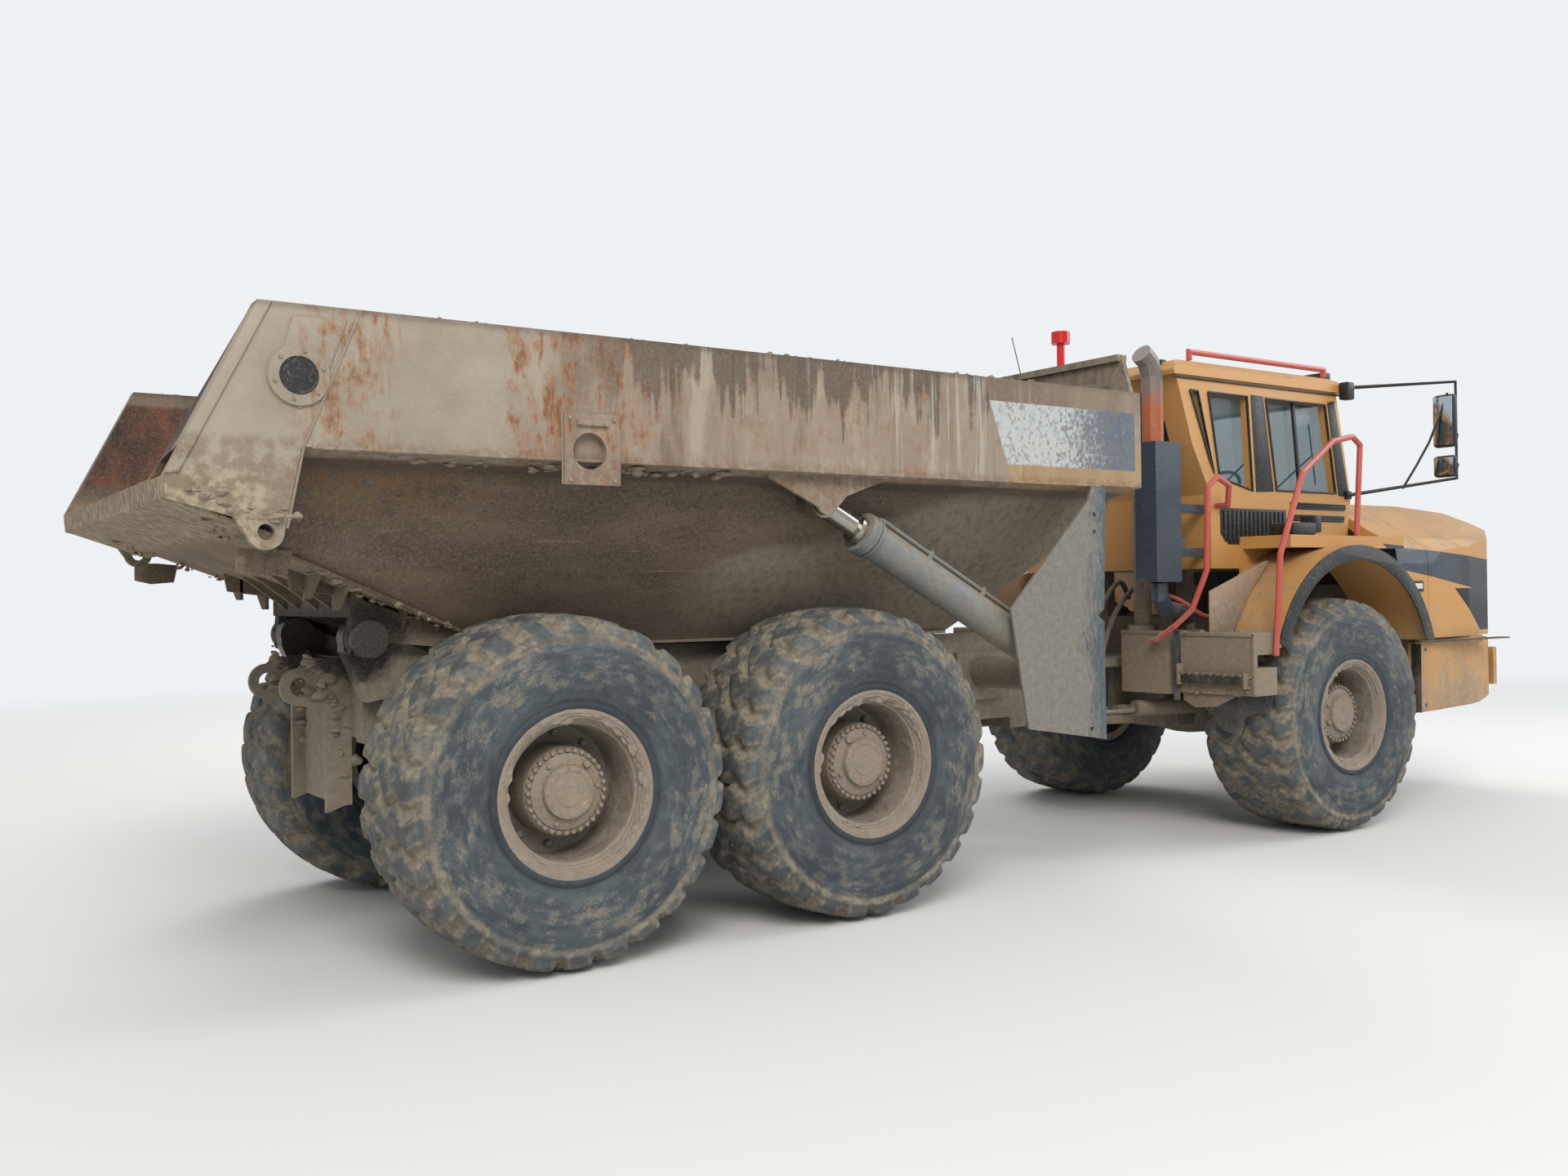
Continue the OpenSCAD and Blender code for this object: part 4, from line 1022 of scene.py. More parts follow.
class Kit:
    """The small pieces of one body, gathered by finish and joined into one piece for each."""

    def __init__(self, stock: Stock, body: str, title: str) -> None:
        """Starts an empty kit.

        Args:
            stock: the finishes.
            body: the body that its pieces ride on.
            title: how its pieces' names begin.
        """
        self.stock = stock
        self.body = body
        self.title = title
        self.parts: dict[str, list[bpy.types.Object]] = {}
        self.masters: dict[str, bpy.types.Object] = {}

    def add(self, finish: str, piece: bpy.types.Object, mirror: bool = False) -> None:
        """Takes in a piece.

        Args:
            finish: its finish.
            piece: the piece.
            mirror: whether its twin stands on the truck's other side.
        """
        batch = self.parts.setdefault(finish, [])
        batch.append(piece)
        if mirror:
            batch.append(Bench.copy(piece, piece.name, MIRROR))

    def slab(self, finish: str, outline: Sequence[Pair], start: float, end: float, bevel: float = 0.003,
             axis: Axis = Axis.Y, mirror: bool = False) -> None:
        """Adds an extruded outline, as Bench.slab does."""
        self.add(finish, Bench.slab("slab", outline, start, end, bevel, axis), mirror)

    def box(self, finish: str, low: Point, high: Point, bevel: float = 0.004, mirror: bool = False) -> None:
        """Adds a box with rounded edges.

        Args:
            finish: its finish.
            low: its lowest corner.
            high: its highest corner.
            bevel: the width of its rounded edges.
            mirror: whether its twin stands on the truck's other side.
        """
        outline = [(low[0], low[2]), (high[0], low[2]), (high[0], high[2]), (low[0], high[2])]
        self.slab(finish, outline, low[1], high[1], bevel, mirror=mirror)

    def slabs(self, finish: str, *rows: tuple[Sequence[Pair], float, float, float], axis: Axis = Axis.Y) -> None:
        """Adds extruded outlines on both sides.

        Args:
            finish: their finish.
            rows: outline, start, end and bevel of each on the right side.
            axis: the axis that they are extruded along.
        """
        for outline, start, end, bevel in rows:
            self.slab(finish, outline, start, end, bevel, axis, True)

    def boxes(self, *rows: tuple[str, Point, Point, float]) -> None:
        """Adds boxes on both sides.

        Args:
            rows: finish, lowest corner, highest corner and bevel of each on the right side.
        """
        for row in rows:
            self.box(*row, True)

    def rod(self, finish: str, first: Point, last: Point, r: float, sides: int = 14, mirror: bool = False) -> None:
        """Adds a round bar, as Bench.rod does."""
        self.add(finish, Bench.rod("rod", first, last, r, sides), mirror)

    def tube(self, finish: str, points: Sequence[Point], r: float, smooth: int = 4, mirror: bool = False) -> None:
        """Adds a bent tube, as Bench.tube does."""
        self.add(finish, Bench.tube("tube", points, r, smooth), mirror)

    def lathe(self, finish: str, profile: Sequence[Pair], place: Point, axis: Point, steps: int = 32,
              mirror: bool = False) -> None:
        """Adds a turned piece.

        Args:
            finish: its finish.
            profile: pairs of radius and place along its axis.
            place: where its profile's zero stands.
            axis: the direction of its axis.
            steps: the number of steps round the axis.
            mirror: whether its twin stands on the truck's other side.
        """
        piece = Bench.lathe("turned", profile, steps)
        turn = Vector(axis).to_track_quat("Y", "Z").to_matrix().to_4x4()
        piece.data.transform(Matrix.Translation(place) @ turn)
        self.add(finish, piece, mirror)

    def bolts(self, finish: str, spots: Sequence[Point], axis: Point, r: float = 0.014, mirror: bool = False) -> None:
        """Adds bolt heads.

        Args:
            finish: their finish.
            spots: where they stand.
            axis: where they point.
            r: their radius.
            mirror: whether their twins stand on the truck's other side.
        """
        key = f"bolt_{r}"
        if key not in self.masters:
            self.masters[key] = Bench.bolt(key, r)
        turn = Vector(axis).to_track_quat("Z", "Y").to_matrix().to_4x4()
        for i, spot in enumerate(spots):
            spin = Matrix.Rotation(i * 0.7, 4, "Z")
            head = Bench.copy(self.masters[key], "bolt", Matrix.Translation(spot) @ turn @ spin)
            self.add(finish, head, mirror)

    def mud(self, finish: str, path: Sequence[Point], count: int, size: float, spread: Point, seed: int) -> None:
        """Scatters clods of dried mud along a line.

        Args:
            finish: their finish.
            path: the line's points.
            count: how many clods there are.
            size: the radius of the larger ones.
            spread: how far they stray along each axis.
            seed: the number that starts the scatter.
        """
        if "lump" not in self.masters:
            self.masters["lump"] = Bench.lump("lump")
        dice = random.Random(seed)
        runs = list(zip(path, path[1:]))
        for _ in range(count):
            first, last = dice.choice(runs)
            spot = Vector(first).lerp(Vector(last), dice.random())
            spot += Vector([dice.uniform(-s, s) for s in spread])
            r = size * dice.uniform(0.25, 1) ** 1.5
            shape = Matrix.Diagonal([r * dice.uniform(*span) for span in ((0.8, 1.8), (0.5, 1.1), (0.4, 0.9))] + [1])
            turn = Matrix.Rotation(dice.uniform(0, 6.28), 4, "Z") @ Matrix.Rotation(dice.uniform(-0.5, 0.5), 4, "X")
            self.add(finish, Bench.copy(self.masters["lump"], "clod", Matrix.Translation(spot) @ turn @ shape))

    def cake(self, *rows: tuple[str, Sequence[Point], int, float, Point, int]) -> None:
        """Scatters clods on both sides, the right one first.

        Args:
            rows: finish, path on the left side, count, size, spread and seed of each scatter.
        """
        for side in (-1, 1):
            for finish, path, *rest in rows:
                self.mud(finish, [(x, side * y, z) for x, y, z in path], *rest)

    def done(self) -> None:
        for master in self.masters.values():
            bpy.data.objects.remove(master)
        for finish, pieces in self.parts.items():
            piece = Bench.join(pieces, f"{self.title}_{finish}")
            Bench.settle(piece)
            self.stock.coat(piece, finish)
            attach(piece, self.body)
            LOG.info("%s: %d vertices", piece.name, len(piece.data.vertices))


# ---- wheels -------------------------------------------------------------------------------------
@dataclass
class Wheel:
    """Tyre and rim, modelled once at the origin with the outer side towards -Y."""

    lug_depth: float = 0.036
    lugs: int = 26
    steps: int = 360
    bead_r: float = 0.322

    def side(self) -> list[tuple[float, float]]:
        """One half of the tyre's section, from the bead to the tread's middle, as radius and width."""
        wall = [(self.bead_r, 0.292), (0.345, 0.300), (0.385, 0.3375), (0.405, 0.338), (0.412, 0.330), (0.45, 0.346),
                (0.50, 0.356), (0.555, 0.3612), (0.61, 0.3595), (0.655, 0.3535), (0.672, 0.3500), (0.680, 0.3445),
                (0.690, 0.3450), (0.700, 0.3495), (0.716, 0.3465), (0.731, 0.3415), (0.746, 0.3345), (0.759, 0.3255),
                (0.771, 0.314), (0.780, 0.300), (0.7865, 0.284)]
        shares = (0, 0.09, 0.18, 0.27, 0.36, 0.45, 0.54, 0.63, 0.72, 0.81, 0.88, 0.94, 1)
        return wall + [(0.7895 + 0.0155 * t * (2 - t), 0.268 * (1 - t)) for t in shares]

    def gap(self, point: Vector) -> tuple[float, float]:
        """Places a point within the row of lugs.

        Args:
            point: a point of the tread.
        Returns:
            Its place round the row in lugs, and how far it is from the groove's middle, from 0 to 1.
        """
        width = abs(point.y)
        turn = math.atan2(point.z, point.x) / (2 * math.pi) * self.lugs
        phase = turn + (0.5 if point.y > 0 else 0.0)
        wave = 0.13 * math.sin(width * 38) + 0.55 * width * (1 if point.y > 0 else -1)
        return turn, abs((phase + wave) % 1 - 0.5) * 2

    def groove(self, point: Vector) -> float:
        """How deep the tread is cut at a point, from 0 to 1."""
        radius = math.hypot(point.x, point.z)
        width = abs(point.y)
        if radius < 0.70:
            return 0.0
        turn, gap = self.gap(point)
        cut = 0.36 + 0.10 * math.sin(width * 26 + 1.0)
        across = min(max((cut - gap) / 0.20, 0), 1)
        if width < 0.05:
            middle = min(max((0.022 - abs(point.y + 0.024 * math.sin(turn * 2 * math.pi))) / 0.012, 0), 1)
            across = max(across * max(width - 0.02, 0) / 0.03, middle * 0.7)
        rim_side = min(max((radius - 0.70) / 0.045, 0), 1)
        return across * (0.35 + 0.65 * rim_side if width > 0.30 else 1.0) * rim_side

    def tyre(self) -> bpy.types.Object:
        """Models the tyre.

        Returns:
            The tyre, at the origin.
        """
        half = self.side()
        profile = [(r, -w) for r, w in half] + [(r, w) for r, w in reversed(half[:-1])]
        profile.append(profile[0])
        tyre = Bench.lathe("tyre_master", profile, self.steps)
        depths = [self.groove(vertex.co) for vertex in tyre.data.vertices]
        tops = [self.gap(vertex.co)[1] for vertex in tyre.data.vertices]
        group = tyre.vertex_groups.new(name="cut")
        for index, depth in enumerate(depths):
            if depth > 0:
                group.add([index], depth, "REPLACE")
        Bench.modify(tyre, "DISPLACE", strength=-self.lug_depth, mid_level=0, vertex_group="cut")
        Bench.modify(tyre, "SMOOTH", factor=0.3, iterations=1)
        for name, values in (("groove", depths), ("lug", tops)):
            marks = tyre.data.attributes.new(name, "FLOAT", "POINT")
            marks.data.foreach_set("value", values)
        Bench.settle(tyre, 50)
        return tyre

    def rim(self) -> bpy.types.Object:
        """Models the rim with its flange rings, hub drum, toothed edge, cap and plug.

        Returns:
            The rim, at the origin.
        """
        dish = [(0.10, -0.090), (0.10, 0.205), (0.19, 0.205), (0.19, 0.04), (0.304, -0.012), (0.304, 0.305),
                (0.352, 0.312), (0.384, 0.316), (0.384, 0.304), (0.322, 0.294), (0.322, -0.294), (0.345, -0.302),
                (0.384, -0.306), (0.3875, -0.312), (0.3875, -0.327), (0.384, -0.332), (0.362, -0.332),
                (0.358, -0.327), (0.350, -0.327), (0.346, -0.320), (0.336, -0.318), (0.330, -0.302),
                (0.324, -0.300), (0.318, -0.284), (0.310, -0.280),
                (0.305, -0.262), (0.302, -0.20), (0.300, -0.06), (0.292, -0.045), (0.21, -0.02), (0.204, -0.03),
                (0.203, -0.19), (0.198, -0.200), (0.188, -0.206), (0.176, -0.206), (0.172, -0.214), (0.150, -0.222),
                (0.124, -0.224), (0.122, -0.246), (0.118, -0.251), (0.096, -0.252), (0.092, -0.2485), (0.068, -0.2485),
                (0.064, -0.252), (0.0, -0.252)]
        rim = Bench.lathe("rim_master", dish, 120)
        teeth = [self.bolt(0.187, -0.206, 360 * k / 32, 0.0115, 0.016) for k in range(32)]
        plates = [self.bolt(0.106, -0.2515, 360 * k / 12, 0.004, 0.004) for k in range(12)]
        wheel_nuts = [self.bolt(0.255, -0.035, 360 * k / 10 + 18, 0.017, 0.03) for k in range(10)]
        plug = self.bolt(0.150, -0.222, 200, 0.018, 0.02)
        lugs = [self.bolt(0.150, -0.221, 35 + 120 * k, 0.012, 0.012) for k in range(3)]
        rim = Bench.join([rim, *teeth, *plates, *wheel_nuts, *lugs, plug], "rim_master")
        dice = random.Random(5)
        crust = [self.clod(dice) for _ in range(90)]
        rim = Bench.join([rim, *crust], "rim_master")
        Bench.settle(rim, 40)
        return rim

    @staticmethod
    def clod(dice: random.Random) -> bpy.types.Object:
        """Models one clod of mud caked on the rim's flange.

        Args:
            dice: the source of its place and size.
        Returns:
            The clod.
        """
        turn = dice.gauss(math.pi, 1.1)
        at = dice.uniform(0.325, 0.375)
        r = dice.uniform(0.006, 0.017)
        piece = Bench.lump("clod")
        lie = Matrix.Translation((at * math.cos(turn), -0.326 + (0.36 - at) * 0.25, at * math.sin(turn)))
        piece.data.transform(lie @ Matrix.Rotation(-turn, 4, "Y") @ Matrix.Diagonal((r * 0.8, r * 0.35, r * 2.2, 1)))
        return piece

    @staticmethod
    def bolt(at: float, face: float, angle: float, size: float, height: float) -> bpy.types.Object:
        """Models one bolt head that stands on the rim.

        Args:
            at: its distance from the axis.
            face: the place along Y of the face it stands on.
            angle: its place round the axis, in degrees.
            size: its radius.
            height: how far it stands out.
        Returns:
            The bolt head.
        """
        turn = math.radians(angle)
        x, z = at * math.cos(turn), at * math.sin(turn)
        return Bench.rod("bolt", (x, face + 0.006, z), (x, face - height, z), size, 8)

    def build(self, stock: Stock) -> None:
        """Makes the six wheels and rides each on its own body.

        Args:
            stock: the finishes.
        """
        places = {row + side: (x, y, AXLE_Z) for row, x in zip("fmr", AXLE_X)
                  for side, y in (("r", -HUB_Y), ("l", HUB_Y))}
        for part, model, finish in (("tyre", self.tyre, "dusty_tyre"), ("rim", self.rim, "rim_paint")):
            master = model()
            master.data.materials.clear()
            master.data.materials.append(stock.made[finish])
            for i, (name, place) in enumerate(places.items()):
                turn = Matrix.Rotation(math.radians(37 * i), 4, "Y")
                flip = Matrix.Rotation(math.pi if place[1] > 0 else 0, 4, "Z")
                piece = Bench.copy(master, f"{part}_{name}_full", Matrix.Translation(place) @ flip @ turn)
                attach(piece, f"wheel_{name}")
                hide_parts(f"{part}_{name}")
                LOG.info("%s: %d vertices", piece.name, len(piece.data.vertices))
            bpy.data.objects.remove(master)


# ---- bed ----------------------------------------------------------------------------------------
@dataclass
class BedTrim:
    """What is welded, bolted or caked to the bed."""

    face: float = 1.45
    ring: Pair = (-4.650, 2.570)
    ring_r: float = 0.120
    bead_r: float = 0.0055
    edge: Sequence[Pair] = ((-4.408, 2.833), (-4.633, 2.290), (-4.700, 1.965))
    plate: Sequence[Pair] = ((-3.518, 2.180), (-3.518, 2.503), (-3.238, 2.503), (-3.238, 2.180))
    doubler: Sequence[Pair] = ((-4.738, 2.560), (-4.668, 2.803), (-4.462, 2.803), (-4.582, 2.468), (-4.650, 2.442))
    foot: Pair = (-3.500, 1.432)
    slope: float = 0.3798
    climb: float = 0.3992

    def beads(self, kit: Kit) -> None:
        """Lays the weld beads on the rails."""
        ring = arc(self.ring, self.ring_r + 0.002, [a * math.pi / 12 for a in range(25)])
        for line in (self.edge, self.plate, (*self.doubler, self.doubler[0]), ring):
            kit.tube("bed_trim", [(x, -self.face - 0.001, z) for x, z in line], self.bead_r, 1, mirror=True)
        for x in (-2.62, -0.72):
            kit.tube("bed_skin", [(x, -self.face, 2.845), (x, -self.face, 2.30)], 0.004, 1, mirror=True)
        low = [(x * 0.1, -self.face + 0.002, 2.288) for x in range(-46, 2, 3)]
        kit.tube("bed_skin", low, 0.007, 1, mirror=True)

    def plug(self, kit: Kit) -> None:
        """Makes the plug in each rail's ring, and its bolts."""
        out = self.face + 0.012
        kit.lathe("seal", [(0.0, 0.0035), (0.045, 0.003), (0.066, 0.0015), (0.070, 0.004), (0.074, 0.004),
                           (0.078, -0.002)], (self.ring[0], -out, self.ring[1]), (0, -1, 0), mirror=True)
        for x, z in arc(self.ring, 0.098, [k * math.pi / 3 + 0.3 for k in range(6)]):
            kit.bolts("bed_trim", [(x, -out, z)], (0, -1, 0), 0.007, mirror=True)

    def crust(self, kit: Kit) -> None:
        """Cakes mud on the tail's lip, its underside and the rails' edges."""
        y = self.face - 0.012
        kit.cake(("dry_mud", [(-5.05, y, 2.12), (-4.86, y, 2.02), (-4.66, y, 2.02)], 60, 0.030,
                  (0.04, 0.012, 0.025), 11),
                 ("dry_mud", [(-4.70, 1.30, 2.275), (-3.60, 1.33, 2.262), (-2.6, 1.33, 2.262)], 60, 0.028,
                  (0.03, 0.07, 0.015), 12),
                 ("dry_mud", [(-4.70, 0.95, 1.90), (-4.20, 0.80, 1.71), (-3.75, 0.70, 1.54)], 70, 0.026,
                  (0.03, 0.10, 0.015), 13),
                 ("dry_mud", [(-4.9, 1.10, 2.02), (-4.75, 1.0, 1.94)], 50, 0.034, (0.06, 0.2, 0.02), 14),
                 ("bed_trim", [(-4.70, 1.40, 2.858), (-2.0, 1.40, 2.858), (0.1, 1.40, 2.858)], 90, 0.018,
                  (0.03, 0.035, 0.002), 15))

    def on_slope(self, x: float, off: float = 0.0) -> Pair:
        """A point on the tail's sloped floor, which climbs backwards, or off it by a height."""
        return x, self.foot[1] + (self.foot[0] - x) * self.climb + off

    def tail(self, kit: Kit) -> None:
        """Builds the tail's underside: flange, ribs, webs, corner plates, doublers and the bracket's bar."""
        # Flange along the edge of the sloped floor, drawn in its plane
        rim = [(0.0, 0.642), (0.264, 0.741), (0.588, 0.851), (0.993, 0.972), (1.345, 1.064), (1.345, 1.005),
               (0.993, 0.915), (0.588, 0.795), (0.264, 0.685), (0.0, 0.588)]
        flange = Bench.slab("flange", rim, 0.0, 0.016, 0.003, Axis.Z)
        lean = Matrix.Rotation(math.pi, 4, "Z") @ Matrix.Rotation(-self.slope, 4, "Y")
        flange.data.transform(Matrix.Translation((self.foot[0], 0, self.foot[1])) @ lean)
        kit.add("bed_skin", flange, mirror=True)
        for y0, y1 in ((0.588, 0.640), (-0.588, -0.640)):
            kit.slab("bed_skin", [(-3.50, y0), (-3.50, y1), (-0.60, y1), (-0.60, y0)], 1.432, 1.448, 0.002, Axis.Z)
        for x, out in ((-4.42, 0.90), (-4.29, 0.86), (-4.00, 0.775), (-3.83, 0.720)):
            top = self.on_slope(x)[1] + 0.008
            low = max(top - 0.120, 1.515)
            kit.slabs("bed_skin", ([(-0.606, top), (-out, top), (-0.69, low), (-0.606, low)], x, x + 0.018, 0.002),
                      axis=Axis.X)
        web = [self.on_slope(-4.50, 0.004), self.on_slope(-4.48, -0.09), (-4.25, 1.70), self.on_slope(-4.25, 0.004)]
        kit.slabs("bed_skin", (web, -0.632, -0.606, 0.003))
        # Closed corners beside the chute
        corner = [(-5.140, 2.071), (-4.74, 1.929), (-4.735, 1.945), (-5.140, 2.087)]
        kit.slabs("bed_skin", (corner, -1.409, -1.0, 0.002))
        kit.slabs("bed_skin",
                  ([(-1.03, 1.955), (-1.409, 1.955), (-1.409, 2.292), (-1.24, 2.292), (-1.205, 2.238), (-1.13, 2.12)],
                   -4.712, -4.698, 0.002),
                  ([(-1.08, 2.073), (-1.409, 2.073), (-1.409, 2.163), (-1.15, 2.163)], -5.146, -5.122, 0.004),
                  axis=Axis.X)
        # Doublers on the side plates and the bar of the bracket
        kit.slabs("bed_skin",
                  ([(-4.835, 1.895), (-4.72, 1.895), (-4.617, 1.885), (-4.637, 1.79), (-4.753, 1.781),
                    (-4.835, 1.801)], -1.204, -1.180, 0.003),
                  (self.doubler, -self.face - 0.007, -self.face + 0.002, 0.002),
                  ([(-4.803, 2.853), (-5.146, 2.165), (-5.096, 2.171), (-4.750, 2.853)], -self.face - 0.011,
                   -self.face + 0.002, 0.003))
        kit.boxes(("bed_skin", (-3.455, -self.face - 0.030, 2.442), (-3.300, -self.face - 0.012, 2.470), 0.004))

    def build(self, stock: Stock) -> None:
        """Makes the pieces."""
        kit = Kit(stock, "bed", "bed")
        self.beads(kit)
        self.plug(kit)
        self.crust(kit)
        self.tail(kit)
        kit.bolts("bed_trim", [(x, -self.face - 0.014, z) for z in (2.20, 2.475) for x in (-3.49, -3.27)], (0, -1, 0),
                  0.010, mirror=True)
        kit.done()


# ---- rear unit ----------------------------------------------------------------------------------
@dataclass
class RearTrim:
    """Drive shafts, rods, pipes, grease and caked mud of the rear unit, and the cylinders' pipes."""

    axles: Pair = AXLE_X[1:]
    foot: Pair = (-0.2150, 1.1781)
    slope: float = 28.3
    barrel_y: float = 1.29
    barrel_r: float = 0.098

    def shafts(self, kit: Kit) -> None:
        """Adds the drive shafts with their joints, and each axle's torque rods."""
        front, back = self.axles
        for first, last in (((back + 0.19, 0, AXLE_Z), (front - 0.19, 0, AXLE_Z)),
                            ((front + 0.19, 0, 0.835), (0.05, 0, 0.880))):
            kit.rod("grimy_iron", first, last, 0.050, 20)
            z = (first[2] + last[2]) / 2
            for x in (first[0] + 0.09, last[0] - 0.15):
                kit.rod("grimy_iron", (x, 0, z), (x + 0.06, 0, z), 0.082, 16)
        for x, reach in ((front, 0.52), (back, -0.48)):
            kit.rod("dusty_frame", (x, -0.09, AXLE_Z + 0.19), (x + reach, -0.35, 1.09), 0.030, mirror=True)
            kit.boxes(("dusty_frame", (x + reach - 0.04, -0.3995, 1.05), (x + reach + 0.04, -0.31, 1.13), 0.006))

    def pipes(self, stock: Stock) -> None:
        """Adds each cylinder's oil pipe, its clamps and its collars.

        Args:
            stock: the finishes.
        """
        turn = math.radians(self.slope)
        along, out = (-math.cos(turn), math.sin(turn)), (math.sin(turn), math.cos(turn))
        r = self.barrel_r

        def spot(s: float, off: float, y: float) -> Point:
            """A point at a distance along the barrel and from its axis."""
            return self.foot[0] + along[0] * s + out[0] * off, y, self.foot[1] + along[1] * s + out[1] * off

        for name, y in (("r", -self.barrel_y), ("l", self.barrel_y)):
            kit = Kit(stock, f"tip_barrel_{name}", f"barrel_{name}")
            line = ((0.20, -0.02), (0.22, 0.02), (0.32, 0.027), (1.45, 0.027), (1.60, 0.030), (1.655, 0.020),
                    (1.66, -0.01))
            kit.tube("cylinder_paint", [spot(s, r + off, y) for s, off in line], 0.013, 3)
            for s in (0.40, 0.83, 1.26):
                kit.rod("cylinder_paint", spot(s, r - 0.012, y), spot(s, r + 0.046, y), 0.018, 10)
                kit.rod("grimy_iron", spot(s, r + 0.040, y), spot(s, r + 0.056, y), 0.011, 6)
            for s in (0.075, 1.672, 1.70):
                kit.lathe("cylinder_paint", [(r - 0.002, -0.008), (r + 0.018, -0.006), (r + 0.018, 0.006),
                                             (r - 0.002, 0.008)], spot(s, 0, y), (along[0], 0, along[1]), 40)
            kit.mud("grease", [spot(1.74, 0.085, y), spot(1.74, -0.085, y)], 14, 0.020, (0.015, 0.05, 0.015), 51)
            kit.done()

    def build(self, stock: Stock) -> None:
        """Makes the pieces."""
        self.pipes(stock)
        kit = Kit(stock, "rear", "rear")
        self.shafts(kit)
        x, z = HINGE
        kit.cake(("grease", [(x - 0.05, 0.66, z - 0.02), (x + 0.05, 0.66, z + 0.02)], 30, 0.03, (0.05, 0.02, 0.05), 21),
                 ("dry_mud", [(-4.36, 0.30, 1.40), (-4.20, 0.30, 1.20), (-4.12, 0.28, 0.85)], 70, 0.045,
                  (0.05, 0.035, 0.05), 22),
                 ("dry_mud", [(-3.9, 0.42, 1.06), (-2.6, 0.42, 1.10), (-1.0, 0.42, 1.10)], 90, 0.032,
                  (0.1, 0.06, 0.02), 23),
                 ("dry_mud", [(-3.46, 0.62, 0.95), (-2.62, 0.58, 0.95), (-1.79, 0.62, 0.95)], 60, 0.035,
                  (0.08, 0.06, 0.02), 24))
        # Steel pipes along the frame
        for k, y in enumerate((-0.30, -0.335, -0.37)):
            kit.tube("hose_rubber", [(-3.3, y, 1.20 + k * 0.01), (-2.2, y, 1.22), (-1.0, y, 1.20),
                                     (-0.2, y * 0.9, 1.14), (0.30, y * 0.6, 1.10)], 0.013, 3, mirror=True)
        kit.done()


